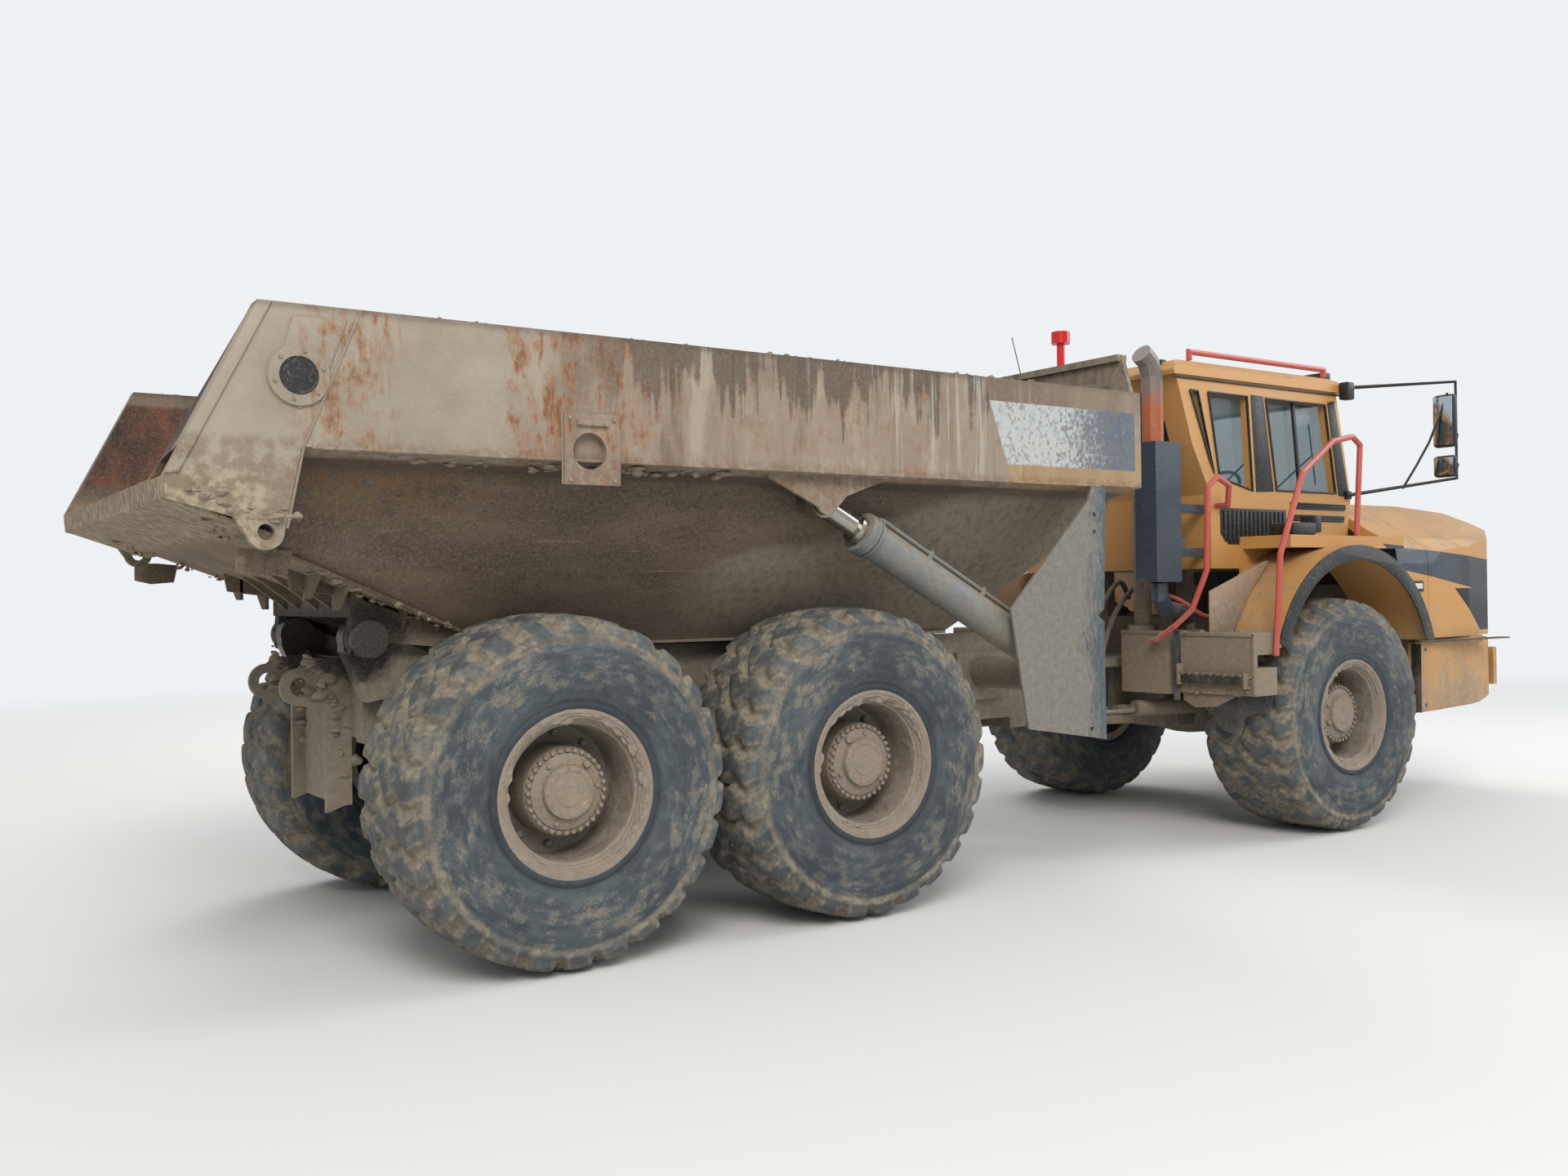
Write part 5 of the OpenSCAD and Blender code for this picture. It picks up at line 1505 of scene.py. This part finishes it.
# ---- cab ----------------------------------------------------------------------------------------
@dataclass
class CabTrim:
    """Seals, vents, lamps, wipers, mirrors, door handle and seat of the cab."""

    wall: float = 0.884
    panes: Sequence[Sequence[Pair]] = (
        ((1.400, 3.030), (1.480, 3.030), (1.640, 2.480), (1.600, 2.560)),
        ((1.590, 3.030), (2.010, 3.030), (2.060, 2.370), (1.700, 2.450)),
        ((2.220, 3.030), (2.920, 3.030), (3.040, 2.380), (2.330, 2.380)))
    door_pane: Sequence[Pair] = ((2.260, 2.990), (2.900, 2.990), (2.975, 2.480), (2.930, 2.250), (2.260, 2.250))
    seal_r: float = 0.011
    arm: Sequence[Point] = ((3.130, -0.918, 3.170), (3.640, -1.480, 3.180), (3.640, -1.480, 2.470),
                            (3.180, -0.905, 2.370))
    brace: Sequence[Point] = ((3.40, -1.20, 2.405), (3.52, -1.34, 2.74), (3.60, -1.44, 3.10))

    def ring(self, kit: Kit, pane: Sequence[Pair], side: int, mirror: bool) -> None:
        """Lays a rubber seal round a window of the right side, -1, or the left, 1."""
        path = [(x, side * (self.wall + 0.001), z) for x, z in (*pane, pane[0])]
        kit.tube("seal", path, self.seal_r, 1, mirror=mirror)

    def sides(self, kit: Kit) -> None:
        """Adds the windows' seals and pillars, and the intake and vents below them."""
        for pane, mirror in zip(self.panes, (True, True, False)):
            self.ring(kit, pane, -1, mirror)
        # Sliding pane's bar, and the black pillars beside it
        kit.slab("seal", [(2.555, 3.03), (2.585, 3.03), (2.66, 2.38), (2.63, 2.38)], -0.866, -0.846, 0.003)
        kit.slab("seal", [(2.05, 3.045), (2.19, 3.045), (2.30, 2.37), (2.10, 2.36)], -0.8865, -0.8845, 0.001)
        kit.slabs("seal", ([(2.95, 3.05), (3.035, 3.07), (3.205, 2.36), (3.075, 2.36)], -0.8875, -0.8845, 0.001))
        for x in (1.735 + k * 0.047 for k in range(15)):
            kit.slab("seal", [(x, 2.225), (x + 0.020, 2.225), (x + 0.020, 2.005), (x, 2.02)], -0.8945, -0.886, 0.002)
        intake = [(1.702, 2.24), (2.438, 2.24), (2.438, 1.987), (1.785, 1.987), (1.702, 2.06)]
        kit.slab("seal", intake, -0.8870, -0.8838, 0.001)
        for z, x0, x1 in ((2.292, 2.50, 3.16), (2.275, 2.50, 3.16), (2.259, 2.50, 3.15), (2.203, 2.51, 3.14),
                          (2.188, 2.51, 3.14), (2.173, 2.52, 3.13)):
            bar = [(x0, z - 0.005), (x1, z - 0.005), (x1, z + 0.004), (x0, z + 0.004)]
            kit.slab("seal", bar, -0.8925, -0.886, 0.001)
        for vent in ([(2.486, 2.302), (3.164, 2.296), (3.156, 2.250), (2.499, 2.250)],
                     [(2.500, 2.212), (3.145, 2.212), (3.136, 2.164), (2.514, 2.164)]):
            kit.slab("seal", vent, -0.8870, -0.8838, 0.001)

    def top(self, kit: Kit) -> None:
        """Adds the lamps, the antenna, the roof's seam and the wipers."""
        kit.boxes(("dark_plastic", (3.06, -0.985, 3.075), (3.15, -0.907, 3.205), 0.012),
                  ("lens", (3.1495, -0.978, 3.085), (3.156, -0.914, 3.195), 0.003),
                  ("dark_plastic", (3.05, -0.80, 3.235), (3.13, -0.60, 3.300), 0.012),
                  ("lens", (3.1295, -0.79, 3.243), (3.136, -0.61, 3.292), 0.003),
                  ("dark_plastic", (1.235, -0.78, 3.165), (1.300, -0.60, 3.245), 0.012),
                  ("lens", (1.2290, -0.77, 3.173), (1.2355, -0.61, 3.237), 0.003))
        kit.rod("seal", (1.42, 0.72, 3.262), (1.30, 0.72, 3.640), 0.004, 8)
        kit.rod("seal", (1.425, 0.72, 3.240), (1.418, 0.72, 3.285), 0.014, 10)
        kit.slabs("seal", ([(1.225, 3.106), (3.125, 3.106), (3.125, 3.118), (1.225, 3.118)], -0.894, -0.8855, 0.002))
        for y0, y1 in ((-0.10, -0.62), (0.50, -0.02)):
            kit.rod("seal", (3.215, y0, 2.36), (3.155, y1, 2.70), 0.008, 8)
            kit.rod("seal", (3.180, y1, 2.47), (3.105, y1, 2.93), 0.007, 8)
        for y in (-0.10, 0.50):
            kit.lathe("seal", [(0, 0.02), (0.02, 0.018), (0.026, 0.0)], (3.21, y, 2.355), (1, 0, 0.2), 16)

    def mirrors(self, stock: Stock) -> None:
        """Makes the mirrors, with rounded housings, glass that faces back, and braced arms."""
        kit = Kit(stock, "tractor", "mirror")
        kit.tube("dark_plastic", self.arm, 0.0135, 1, mirror=True)
        kit.tube("dark_plastic", self.brace, 0.009, 2, mirror=True)
        kit.boxes(("dark_plastic", (3.080, -0.925, 3.145), (3.160, -0.9055, 3.190), 0.004),
                  ("dark_plastic", (3.150, -0.912, 2.340), (3.205, -0.8845, 2.400), 0.004))
        for low, high in ((2.700, 3.090), (2.480, 2.640)):
            kit.boxes(("dark_plastic", (3.578, -1.499, low), (3.640, -1.330, high), 0.026),
                      ("mirror_face", (3.5755, -1.487, low + 0.016), (3.5785, -1.342, high - 0.016), 0.001))
            kit.rod("dark_plastic", (3.632, -1.478, low + 0.06), (3.640, -1.480, low + 0.10), 0.018, 12, mirror=True)
        kit.done()
        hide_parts("mirrors")

    def door(self, stock: Stock) -> None:
        """Adds the door's handle, lock and seal."""
        kit = Kit(stock, "door", "door")
        y = self.wall
        kit.box("seal", (2.175, y + 0.001, 2.150), (2.235, y + 0.028, 2.185), 0.006)
        kit.rod("seal", (2.205, y + 0.001, 2.205), (2.205, y + 0.010, 2.205), 0.018, 14)
        self.ring(kit, self.door_pane, 1, False)
        kit.done()

    def seat(self, stock: Stock) -> None:
        """Makes the driver's seat, padded and sewn, on its plastic base.

        Args:
            stock: the finishes.
        """
        for name, low, high, lean in (("seat_cushion", (2.005, -0.25, 2.16), (2.535, 0.25, 2.275), 0.0),
                                      ("seat_back", (-0.06, -0.245, -0.30), (0.055, 0.245, 0.32), -0.125)):
            Bench.start()
            bpy.ops.mesh.primitive_cube_add(size=1, location=(0, 0, 0))
            pad = Bench.named(name)
            pad.data.transform(Matrix.Translation([(a + b) / 2 for a, b in zip(low, high)])
                               @ Matrix.Diagonal([b - a for a, b in zip(low, high)] + [1]))
            bpy.ops.object.mode_set(mode="EDIT")
            bpy.ops.mesh.select_all(action="SELECT")
            bpy.ops.mesh.subdivide(number_cuts=2)
            bpy.ops.object.mode_set(mode="OBJECT")
            Bench.modify(pad, "BEVEL", width=0.03, segments=2, limit_method="ANGLE", angle_limit=1.0)
            Bench.modify(pad, "SUBSURF", levels=2, render_levels=2)
            if lean:
                pad.data.transform(Matrix.Translation((2.04, 0, 2.62)) @ Matrix.Rotation(lean, 4, "Y"))
            Bench.settle(pad, 60)
            stock.coat(pad, "seat_fabric")
            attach(pad, "tractor")
            LOG.info("%s: %d vertices", pad.name, len(pad.data.vertices))
        kit = Kit(stock, "tractor", "seat_base")
        kit.box("dark_plastic", (2.06, -0.22, 1.90), (2.49, 0.22, 2.155), 0.02)
        kit.boxes(("dark_plastic", (2.10, 0.235, 2.30), (2.42, 0.258, 2.36), 0.01))
        kit.done()
        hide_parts("cab_seat")

    def build(self, stock: Stock) -> None:
        """Makes the pieces."""
        kit = Kit(stock, "tractor", "cab")
        self.sides(kit)
        self.top(kit)
        kit.done()
        self.mirrors(stock)
        self.door(stock)
        self.seat(stock)


# ---- nose ---------------------------------------------------------------------------------------
@dataclass
class NoseTrim:
    """Head lamps' reflectors, arch lips, small lamps, and the bumper's seams."""

    arch: Pair = (2.460, 1.017)
    arch_r: float = 0.953
    lip: float = 0.105

    def lamps(self, stock: Stock) -> None:
        """Adds two reflectors to each head lamp."""
        kit = Kit(stock, "hood", "hood")
        reflector = [(0.0, -0.004), (0.03, -0.004), (0.085, 0.010), (0.092, 0.010), (0.092, 0.0)]
        for spot, axis in (((4.56, -1.098, 1.50), (0.35, -1, 0)), ((4.30, -1.170, 1.50), (0.22, -1, 0))):
            kit.lathe("rod_chrome", reflector, spot, axis, 36, mirror=True)
        kit.done()

    def fender(self, kit: Kit) -> None:
        """Adds the rubber lip round each arch, the marker lamp, and the work lamp on its block."""
        outer = arc(self.arch, self.arch_r, [math.radians(a) for a in range(17, 164, 6)])
        inner = arc(self.arch, self.arch_r - self.lip, [math.radians(a) for a in range(163, 16, -6)])
        kit.slabs("seal", ([*outer, *inner], -1.452, -1.441, 0.003))
        kit.boxes(("seal", (3.41, -1.262, 1.64), (3.56, -1.2505, 1.72), 0.004),
                  ("lens", (3.435, -1.268, 1.66), (3.535, -1.2615, 1.70), 0.003),
                  ("seal", (1.94, -1.296, 2.041), (2.20, -1.10, 2.125), 0.015),
                  ("seal", (2.22, -1.270, 2.060), (2.30, -1.150, 2.180), 0.012),
                  ("lens", (2.2995, -1.258, 2.072), (2.306, -1.162, 2.168), 0.003))
        kit.rod("seal", (2.26, -1.21, 2.038), (2.26, -1.21, 2.065), 0.014, 10, mirror=True)

    def bumper(self, kit: Kit) -> None:
        """Adds the bumper's seams and its bolts at the rear edge."""
        kit.slabs("seal", ([(3.455, 1.262), (4.70, 1.262), (4.70, 1.272), (3.455, 1.272)], -1.297, -1.20, 0.002),
                  ([(3.448, 0.745), (3.454, 0.745), (3.454, 1.255), (3.448, 1.255)], -1.296, -1.22, 0.001))
        kit.bolts("grimy_iron", [(3.50, -1.3005, 0.80), (3.50, -1.3005, 1.21)], (0, -1, 0), 0.010, mirror=True)

    def build(self, stock: Stock) -> None:
        """Makes the pieces."""
        self.lamps(stock)
        kit = Kit(stock, "tractor", "nose")
        self.fender(kit)
        self.bumper(kit)
        kit.done()


# ---- behind the cab -----------------------------------------------------------------------------
@dataclass
class DeckTrim:
    """Filter, pipes and hoses between the cab and the hinge, and what hangs on the step boxes."""

    pipe: Pair = (1.41, -0.44)
    filter: Pair = (1.475, -0.56)
    guard: Sequence[Pair] = ((1.310, 1.384), (1.310, 1.665), (1.905, 1.867), (1.940, 1.867), (1.840, 1.755),
                             (1.740, 1.660), (1.640, 1.520), (1.560, 1.400), (1.540, 1.384))
    flap: Sequence[Pair] = ((-0.90, 0.990), (-1.30, 1.080), (-1.392, 1.150), (-1.392, 0.930), (-1.372, 0.880),
                            (-1.320, 0.850), (-1.240, 0.845), (-1.190, 0.820), (-1.165, 0.760), (-1.150, 0.700),
                            (-1.130, 0.690), (-1.010, 0.720), (-0.92, 0.800))
    skirt: Sequence[Pair] = ((-0.852, 0.988), (-1.30, 0.988), (-1.12, 0.900), (-0.95, 0.885), (-0.852, 0.930))

    def filters(self, kit: Kit) -> None:
        """Adds the filter canister, the open funnel beside it and the pipe's cap.
        """
        x, y = self.filter
        kit.lathe("canister", [(0, 0.0), (0.050, 0.0), (0.062, 0.010), (0.062, 0.105), (0.058, 0.118), (0.02, 0.124),
                               (0, 0.124)], (x, y, 2.060), (0, 0, 1), 28)
        kit.lathe("seal", [(0, -0.02), (0.056, -0.02), (0.064, -0.012), (0.064, 0.002), (0, 0.002)], (x, y, 2.062),
                  (0, 0, 1), 28)
        kit.tube("dry_mud", [(x, y, 2.05), (1.470, -0.55, 1.92), (1.440, -0.50, 1.82), (1.415, -0.46, 1.70)], 0.018)
        kit.tube("dry_mud", [(1.600, -0.62, 1.995), (1.555, -0.60, 1.89), (1.480, -0.54, 1.79), (1.42, -0.46, 1.66)],
                 0.034)
        kit.lathe("dry_mud", [(0.036, -0.06), (0.060, 0.0), (0.063, 0.012), (0.055, 0.014), (0.03, 0.0)],
                  (1.612, -0.625, 2.015), (0.35, -0.1, 1), 24)
        kit.lathe("cylinder_paint", [(0, 0.0), (0.040, 0.0), (0.052, 0.02), (0.052, 0.05), (0.03, 0.07), (0, 0.07)],
                  (*self.pipe, 2.300), (0, 0, 1), 24)

    def steps(self, kit: Kit) -> None:
        """Adds what hangs on the step boxes: treads, edges, the lower panel, the guard panel and the flap.
        """
        kit.slabs("panel_tan", (self.guard, -1.100, -1.085, 0.004))
        kit.slabs("blue_grey_steel", (self.flap, 1.548, 1.556, 0.003), axis=Axis.X)
        # Tread across the box's rear face, on its brackets
        kit.boxes(("seal", (1.268, -1.385, 1.052), (1.304, -0.862, 1.118), 0.004))
        for y in (-1.370 + k * 0.058 for k in range(9)):
            kit.boxes(("grimy_iron", (1.262, y, 1.108), (1.306, y + 0.030, 1.128), 0.003))
        kit.boxes(("step_paint", (1.262, -0.880, 1.040), (1.312, -0.850, 1.180), 0.004),
                  ("step_paint", (1.262, -1.400, 1.030), (1.312, -1.382, 1.135), 0.004))
        # Folded edges, and the panel below the box
        kit.boxes(("step_paint", (1.300, -1.442, 1.366), (1.545, -0.846, 1.392), 0.004),
                  ("step_paint", (1.300, -1.446, 0.985), (1.316, -1.424, 1.385), 0.003))
        kit.slabs("step_paint", (self.skirt, 1.330, 1.342, 0.003), axis=Axis.X)
        kit.boxes(("step_paint", (1.303, -0.742, 1.372), (1.700, -0.328, 1.396), 0.004),
                  ("blue_grey_steel", (1.296, -0.846, 0.930), (1.306, -0.800, 1.400), 0.003))
        kit.cake(("dry_mud", [(1.30, 0.86, 1.0), (1.30, 1.40, 1.0), (1.31, 1.40, 1.12)], 45, 0.016,
                  (0.008, 0.02, 0.02), 61),
                 ("dry_mud", [(1.33, 0.90, 1.392), (1.50, 1.38, 1.392)], 40, 0.020, (0.08, 0.1, 0.002), 62),
                 ("dry_mud", [(1.35, 0.40, 1.396), (1.66, 0.70, 1.396)], 40, 0.018, (0.05, 0.05, 0.002), 63))

    def build(self, stock: Stock) -> None:
        """Makes the pieces."""
        kit = Kit(stock, "tractor", "deck")
        self.filters(kit)
        self.steps(kit)
        # Flange bolts on the tank
        ring = [(x, y, 1.430) for x, y in arc(self.pipe, 0.085, [k * math.pi / 4 for k in range(8)])]
        kit.bolts("grimy_iron", ring, (0, 0, 1), 0.011)
        for k in range(4):
            y = -0.30 + k * 0.17
            kit.tube("hose_rubber", [(1.62, y, 1.62), (1.50, y - 0.02, 1.70 + 0.04 * k), (1.36, y, 1.60),
                                     (1.28, y * 0.8, 1.40), (1.22, y * 0.7, 1.14)], 0.019)
        kit.tube("red_rail_paint", [(1.36, -0.62, 1.66), (1.48, -0.72, 1.60), (1.60, -0.80, 1.50), (1.72, -0.82, 1.49),
                                    (1.86, -0.83, 1.52)], 0.016)
        kit.done()


# ---- studio -------------------------------------------------------------------------------------
@dataclass
class Studio:
    """Floor, light and camera."""

    eye: Point = (-6.1144, -6.9675, 1.684)
    yaw: float = 0.5995
    pitch: float = 0.0042
    roll: float = -0.0129
    lens: float = 31.34
    backdrop: Colour = (0.86, 0.88, 0.90, 1)
    sky: Colour = (0.93, 0.96, 1.0, 1)
    fade: Pair = (8, 22)

    def camera(self) -> None:
        """Sets the camera where the photograph was taken."""
        ahead = Vector((math.sin(self.yaw) * math.cos(self.pitch), math.cos(self.yaw) * math.cos(self.pitch),
                        math.sin(self.pitch)))
        right = ahead.cross(Vector((0, 0, 1))).normalized()
        up = right.cross(ahead)
        right, up = (math.cos(self.roll) * right + math.sin(self.roll) * up,
                     math.cos(self.roll) * up - math.sin(self.roll) * right)
        turn = Matrix((right, up, -ahead)).transposed().to_4x4()
        bpy.ops.object.camera_add()
        camera = bpy.context.object
        camera.name = "camera"
        camera.matrix_world = Matrix.Translation(self.eye) @ turn
        camera.data.lens = self.lens
        camera.data.sensor_width = 36
        camera.data.clip_end = 500
        bpy.context.scene.camera = camera

    @staticmethod
    def lamp(name: str, place: Point, size: float, power: float, colour: Point) -> None:
        """Adds a soft area lamp that points at the truck's middle.

        Args:
            name: the lamp's name.
            place: where it hangs.
            size: the length of its sides.
            power: its power in watts.
            colour: its colour.
        """
        bpy.ops.object.light_add(type="AREA", location=place)
        lamp = bpy.context.object
        lamp.name = name
        lamp.data.shape = "SQUARE"
        lamp.data.size = size
        lamp.data.energy = power
        lamp.data.color = colour
        aim = Vector((0, 0, 1.4)) - Vector(place)
        lamp.rotation_euler = aim.to_track_quat("-Z", "Y").to_euler()

    def floor(self) -> None:
        """Lays the pale floor, which fades into the backdrop far away."""
        Bench.start()
        bpy.ops.mesh.primitive_plane_add(size=400, location=(0, 0, 0))
        floor = Bench.named("floor")
        g = Graph("pale_floor")
        colour = g.blend(g.noise(0.7, seed=3) * 0.10, "#d9d9d6", "#cfcfcc")
        rays = Sock(g, g.node("ShaderNodeLightPath").outputs["Is Camera Ray"])
        far = (g.x * g.x + g.y * g.y) ** 0.5
        pale = g.node("ShaderNodeEmission", {}, {"Color": self.backdrop, "Strength": 1.0})
        floor.data.materials.append(g.finish(colour, 0.9, shown=(far.step(*self.fade) * rays, pale.outputs[0])))

    def world(self) -> None:
        """Makes the soft sky, which the camera sees as the plain backdrop."""
        world = bpy.data.worlds.new("sky")
        bpy.context.scene.world = world
        tree = Tree(world)
        rays = tree.node("ShaderNodeLightPath")
        soft = tree.node("ShaderNodeBackground", {}, {0: self.sky, 1: 0.62})
        shown = tree.node("ShaderNodeBackground", {}, {0: self.backdrop, 1: 1.0})
        mix = tree.node("ShaderNodeMixShader", {}, {0: rays.outputs["Is Camera Ray"], 1: soft.outputs[0],
                                                    2: shown.outputs[0]})
        tree.node("ShaderNodeOutputWorld", {}, {0: mix.outputs[0]})

    def build(self) -> None:
        """Makes the floor, the world, the lamps and the camera."""
        self.floor()
        self.world()
        self.lamp("key", (-9, -13, 13), 9, 2600, (1.0, 0.96, 0.90))
        self.lamp("fill", (14, -6, 9), 9, 1100, (0.92, 0.96, 1.0))
        self.lamp("back", (4, 14, 12), 9, 1400, (1.0, 0.97, 0.93))
        self.camera()
        bpy.context.scene.view_settings.view_transform = "Standard"


# ---- the whole truck ----------------------------------------------------------------------------
DRESS = {
    "bed_skin": ("dump_body",),
    "head_skin": ("headboard",),
    "cylinder_paint": ("tip_barrel_r", "tip_barrel_l"),
    "mud_plate_steel": ("mud_plates",),
    "ochre_paint": ("front_bumper", "cab_shell", "cab_roof", "cab_door"),
    "nose_paint": ("front_fenders", "cowl", "hood"),
    "step_paint": ("step_boxes", "side_tanks"),
    "dusty_frame": ("front_frame", "front_axle", "rear_frame", "bogie_beams", "rear_axles"),
    "grimy_iron": ("powertrain", "hitch_ring", "steer_barrel_r", "steer_barrel_l"),
    "dry_mud": ("filler_pipes",),
    "rod_chrome": ("steer_rod_r", "steer_rod_l", "tip_stage_r", "tip_stage_l", "tip_rod_r", "tip_rod_l"),
    "stack": ("exhaust",),
    "dark_plastic": ("cab_console", "hood_grille"),
    "red_rail_paint": ("handrails",),
    "red_lens": ("beacon",),
    "lamp_glass": ("head_lamps",),
    "window_glass": ("cab_glass", "door_glass"),
}


def finishes() -> list[Any]:
    """Lists every finish of the truck.

    Returns:
        The finishes.
    """
    return [
        BedSkin("bed_skin", "#a8803c", relief=0.003),
        Weathered("bed_trim", "#8b7f6e", fade="#988c7b", dust="#877b6b", dust_share=0.55, rust_share=0.25),
        HeadSkin("head_skin", "#b98a3c", dust="#877b6b", dust_share=0.52, rust_share=0.25),
        GuardSkin("mud_plate_steel", "#3d4a54", fade="#525c62", dust="#85827a", rust_share=0.02, relief=0.003),
        Weathered("ochre_paint", "#be8b4c", fade="#b38c5a", dust_share=0.24, rust_share=0.0, low_dust=0.34),
        NosePaint("nose_paint", "#be8b4c", fade="#b38c5a", dust_share=0.24, rust_share=0.0, low_dust=0.34),
        Weathered("panel_tan", "#a5836a", fade="#9c8878", dust="#958a7d", dust_share=0.46, rust_share=0.04),
        Weathered("step_paint", "#9a7549", fade="#8d7353", dust="#867b6c", dust_share=0.56, rust_share=0.10,
                  relief=0.003),
        FrameSkin("dusty_frame", "#2e2823", fade="#39322b", dust="#8b8274", dust_share=0.80, rust_share=0.10),
        Weathered("cylinder_paint", "#626c72", fade="#7c7c76", dust="#8f8677", dust_share=0.46, rust_share=0.08),
        Weathered("grimy_iron", "#35322f", fade="#504940", dust="#7d7263", dust_share=0.42, rust_share=0.2),
        Weathered("grease", "#1b1917", fade="#2c2723", dust="#5c4e40", dust_share=0.30, rust_share=0.0, gloss=0.3),
        Weathered("dry_mud", "#857868", fade="#978a78", dust="#8d8170", dust_share=0.6, rust_share=0.0, relief=0.004),
        RimSkin("rim_paint", "#84766a", fade="#8f806f", dust="#8a847b", rust_share=0.05, relief=0.005),
        Weathered("blue_grey_steel", "#2c3642", fade="#3b4652", dust_share=0.24, rust_share=0.04),
        StackSkin("stack", "#323d4a", fade="#414c58", dust_share=0.24, rust_share=0.04),
        Weathered("red_rail_paint", "#b5493f", fade="#bd6d60", dust_share=0.26, rust_share=0.0),
        Weathered("hose_rubber", "#232629", fade="#30343a", dust="#7d705e", dust_share=0.42, rust_share=0.0, gloss=0.6),
        Weathered("seal", "#17191b", fade="#25282b", dust="#7f725e", dust_share=0.22, rust_share=0.0, gloss=0.55),
        Rubber(),
        Cloth("seat_fabric"),
        Smooth("rod_chrome", "#a9a49b", rough=0.25, metal=1.0, dust_share=0.45),
        Smooth("mirror_face", "#c9d2d8", rough=0.06, metal=1.0, dust_share=0.10),
        Smooth("dark_plastic", "#1d1f22", rough=0.5, dust_share=0.28),
        Smooth("red_lens", "#b81d18", rough=0.2, dust_share=0.15, glow=0.15),
        Smooth("lens", "#c9cdd0", rough=0.15, dust_share=0.25),
        Smooth("canister", "#c8c6c0", rough=0.4, dust_share=0.30),
        # The lamp panes' dark tint is painted shade of the lamps' insides
        LampSkin("lamp_glass", "#14181d", rough=0.10, dust_share=0.20),
        Smooth("window_glass", "#4c6a72", rough=0.05, dust_share=0.22, clear=0.66),
    ]


def main() -> None:
    """Builds every sub-assembly in order."""
    logging.basicConfig(level=logging.INFO, format="%(message)s")
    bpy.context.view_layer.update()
    stock = Stock(finishes())
    for finish, nodes in DRESS.items():
        for node in nodes:
            stock.dress(node, finish)
    for assembly in (Wheel(), BedTrim(), RearTrim(), CabTrim(), NoseTrim(), DeckTrim()):
        assembly.build(stock)
    Studio().build()


if __name__ == "__main__":
    main()
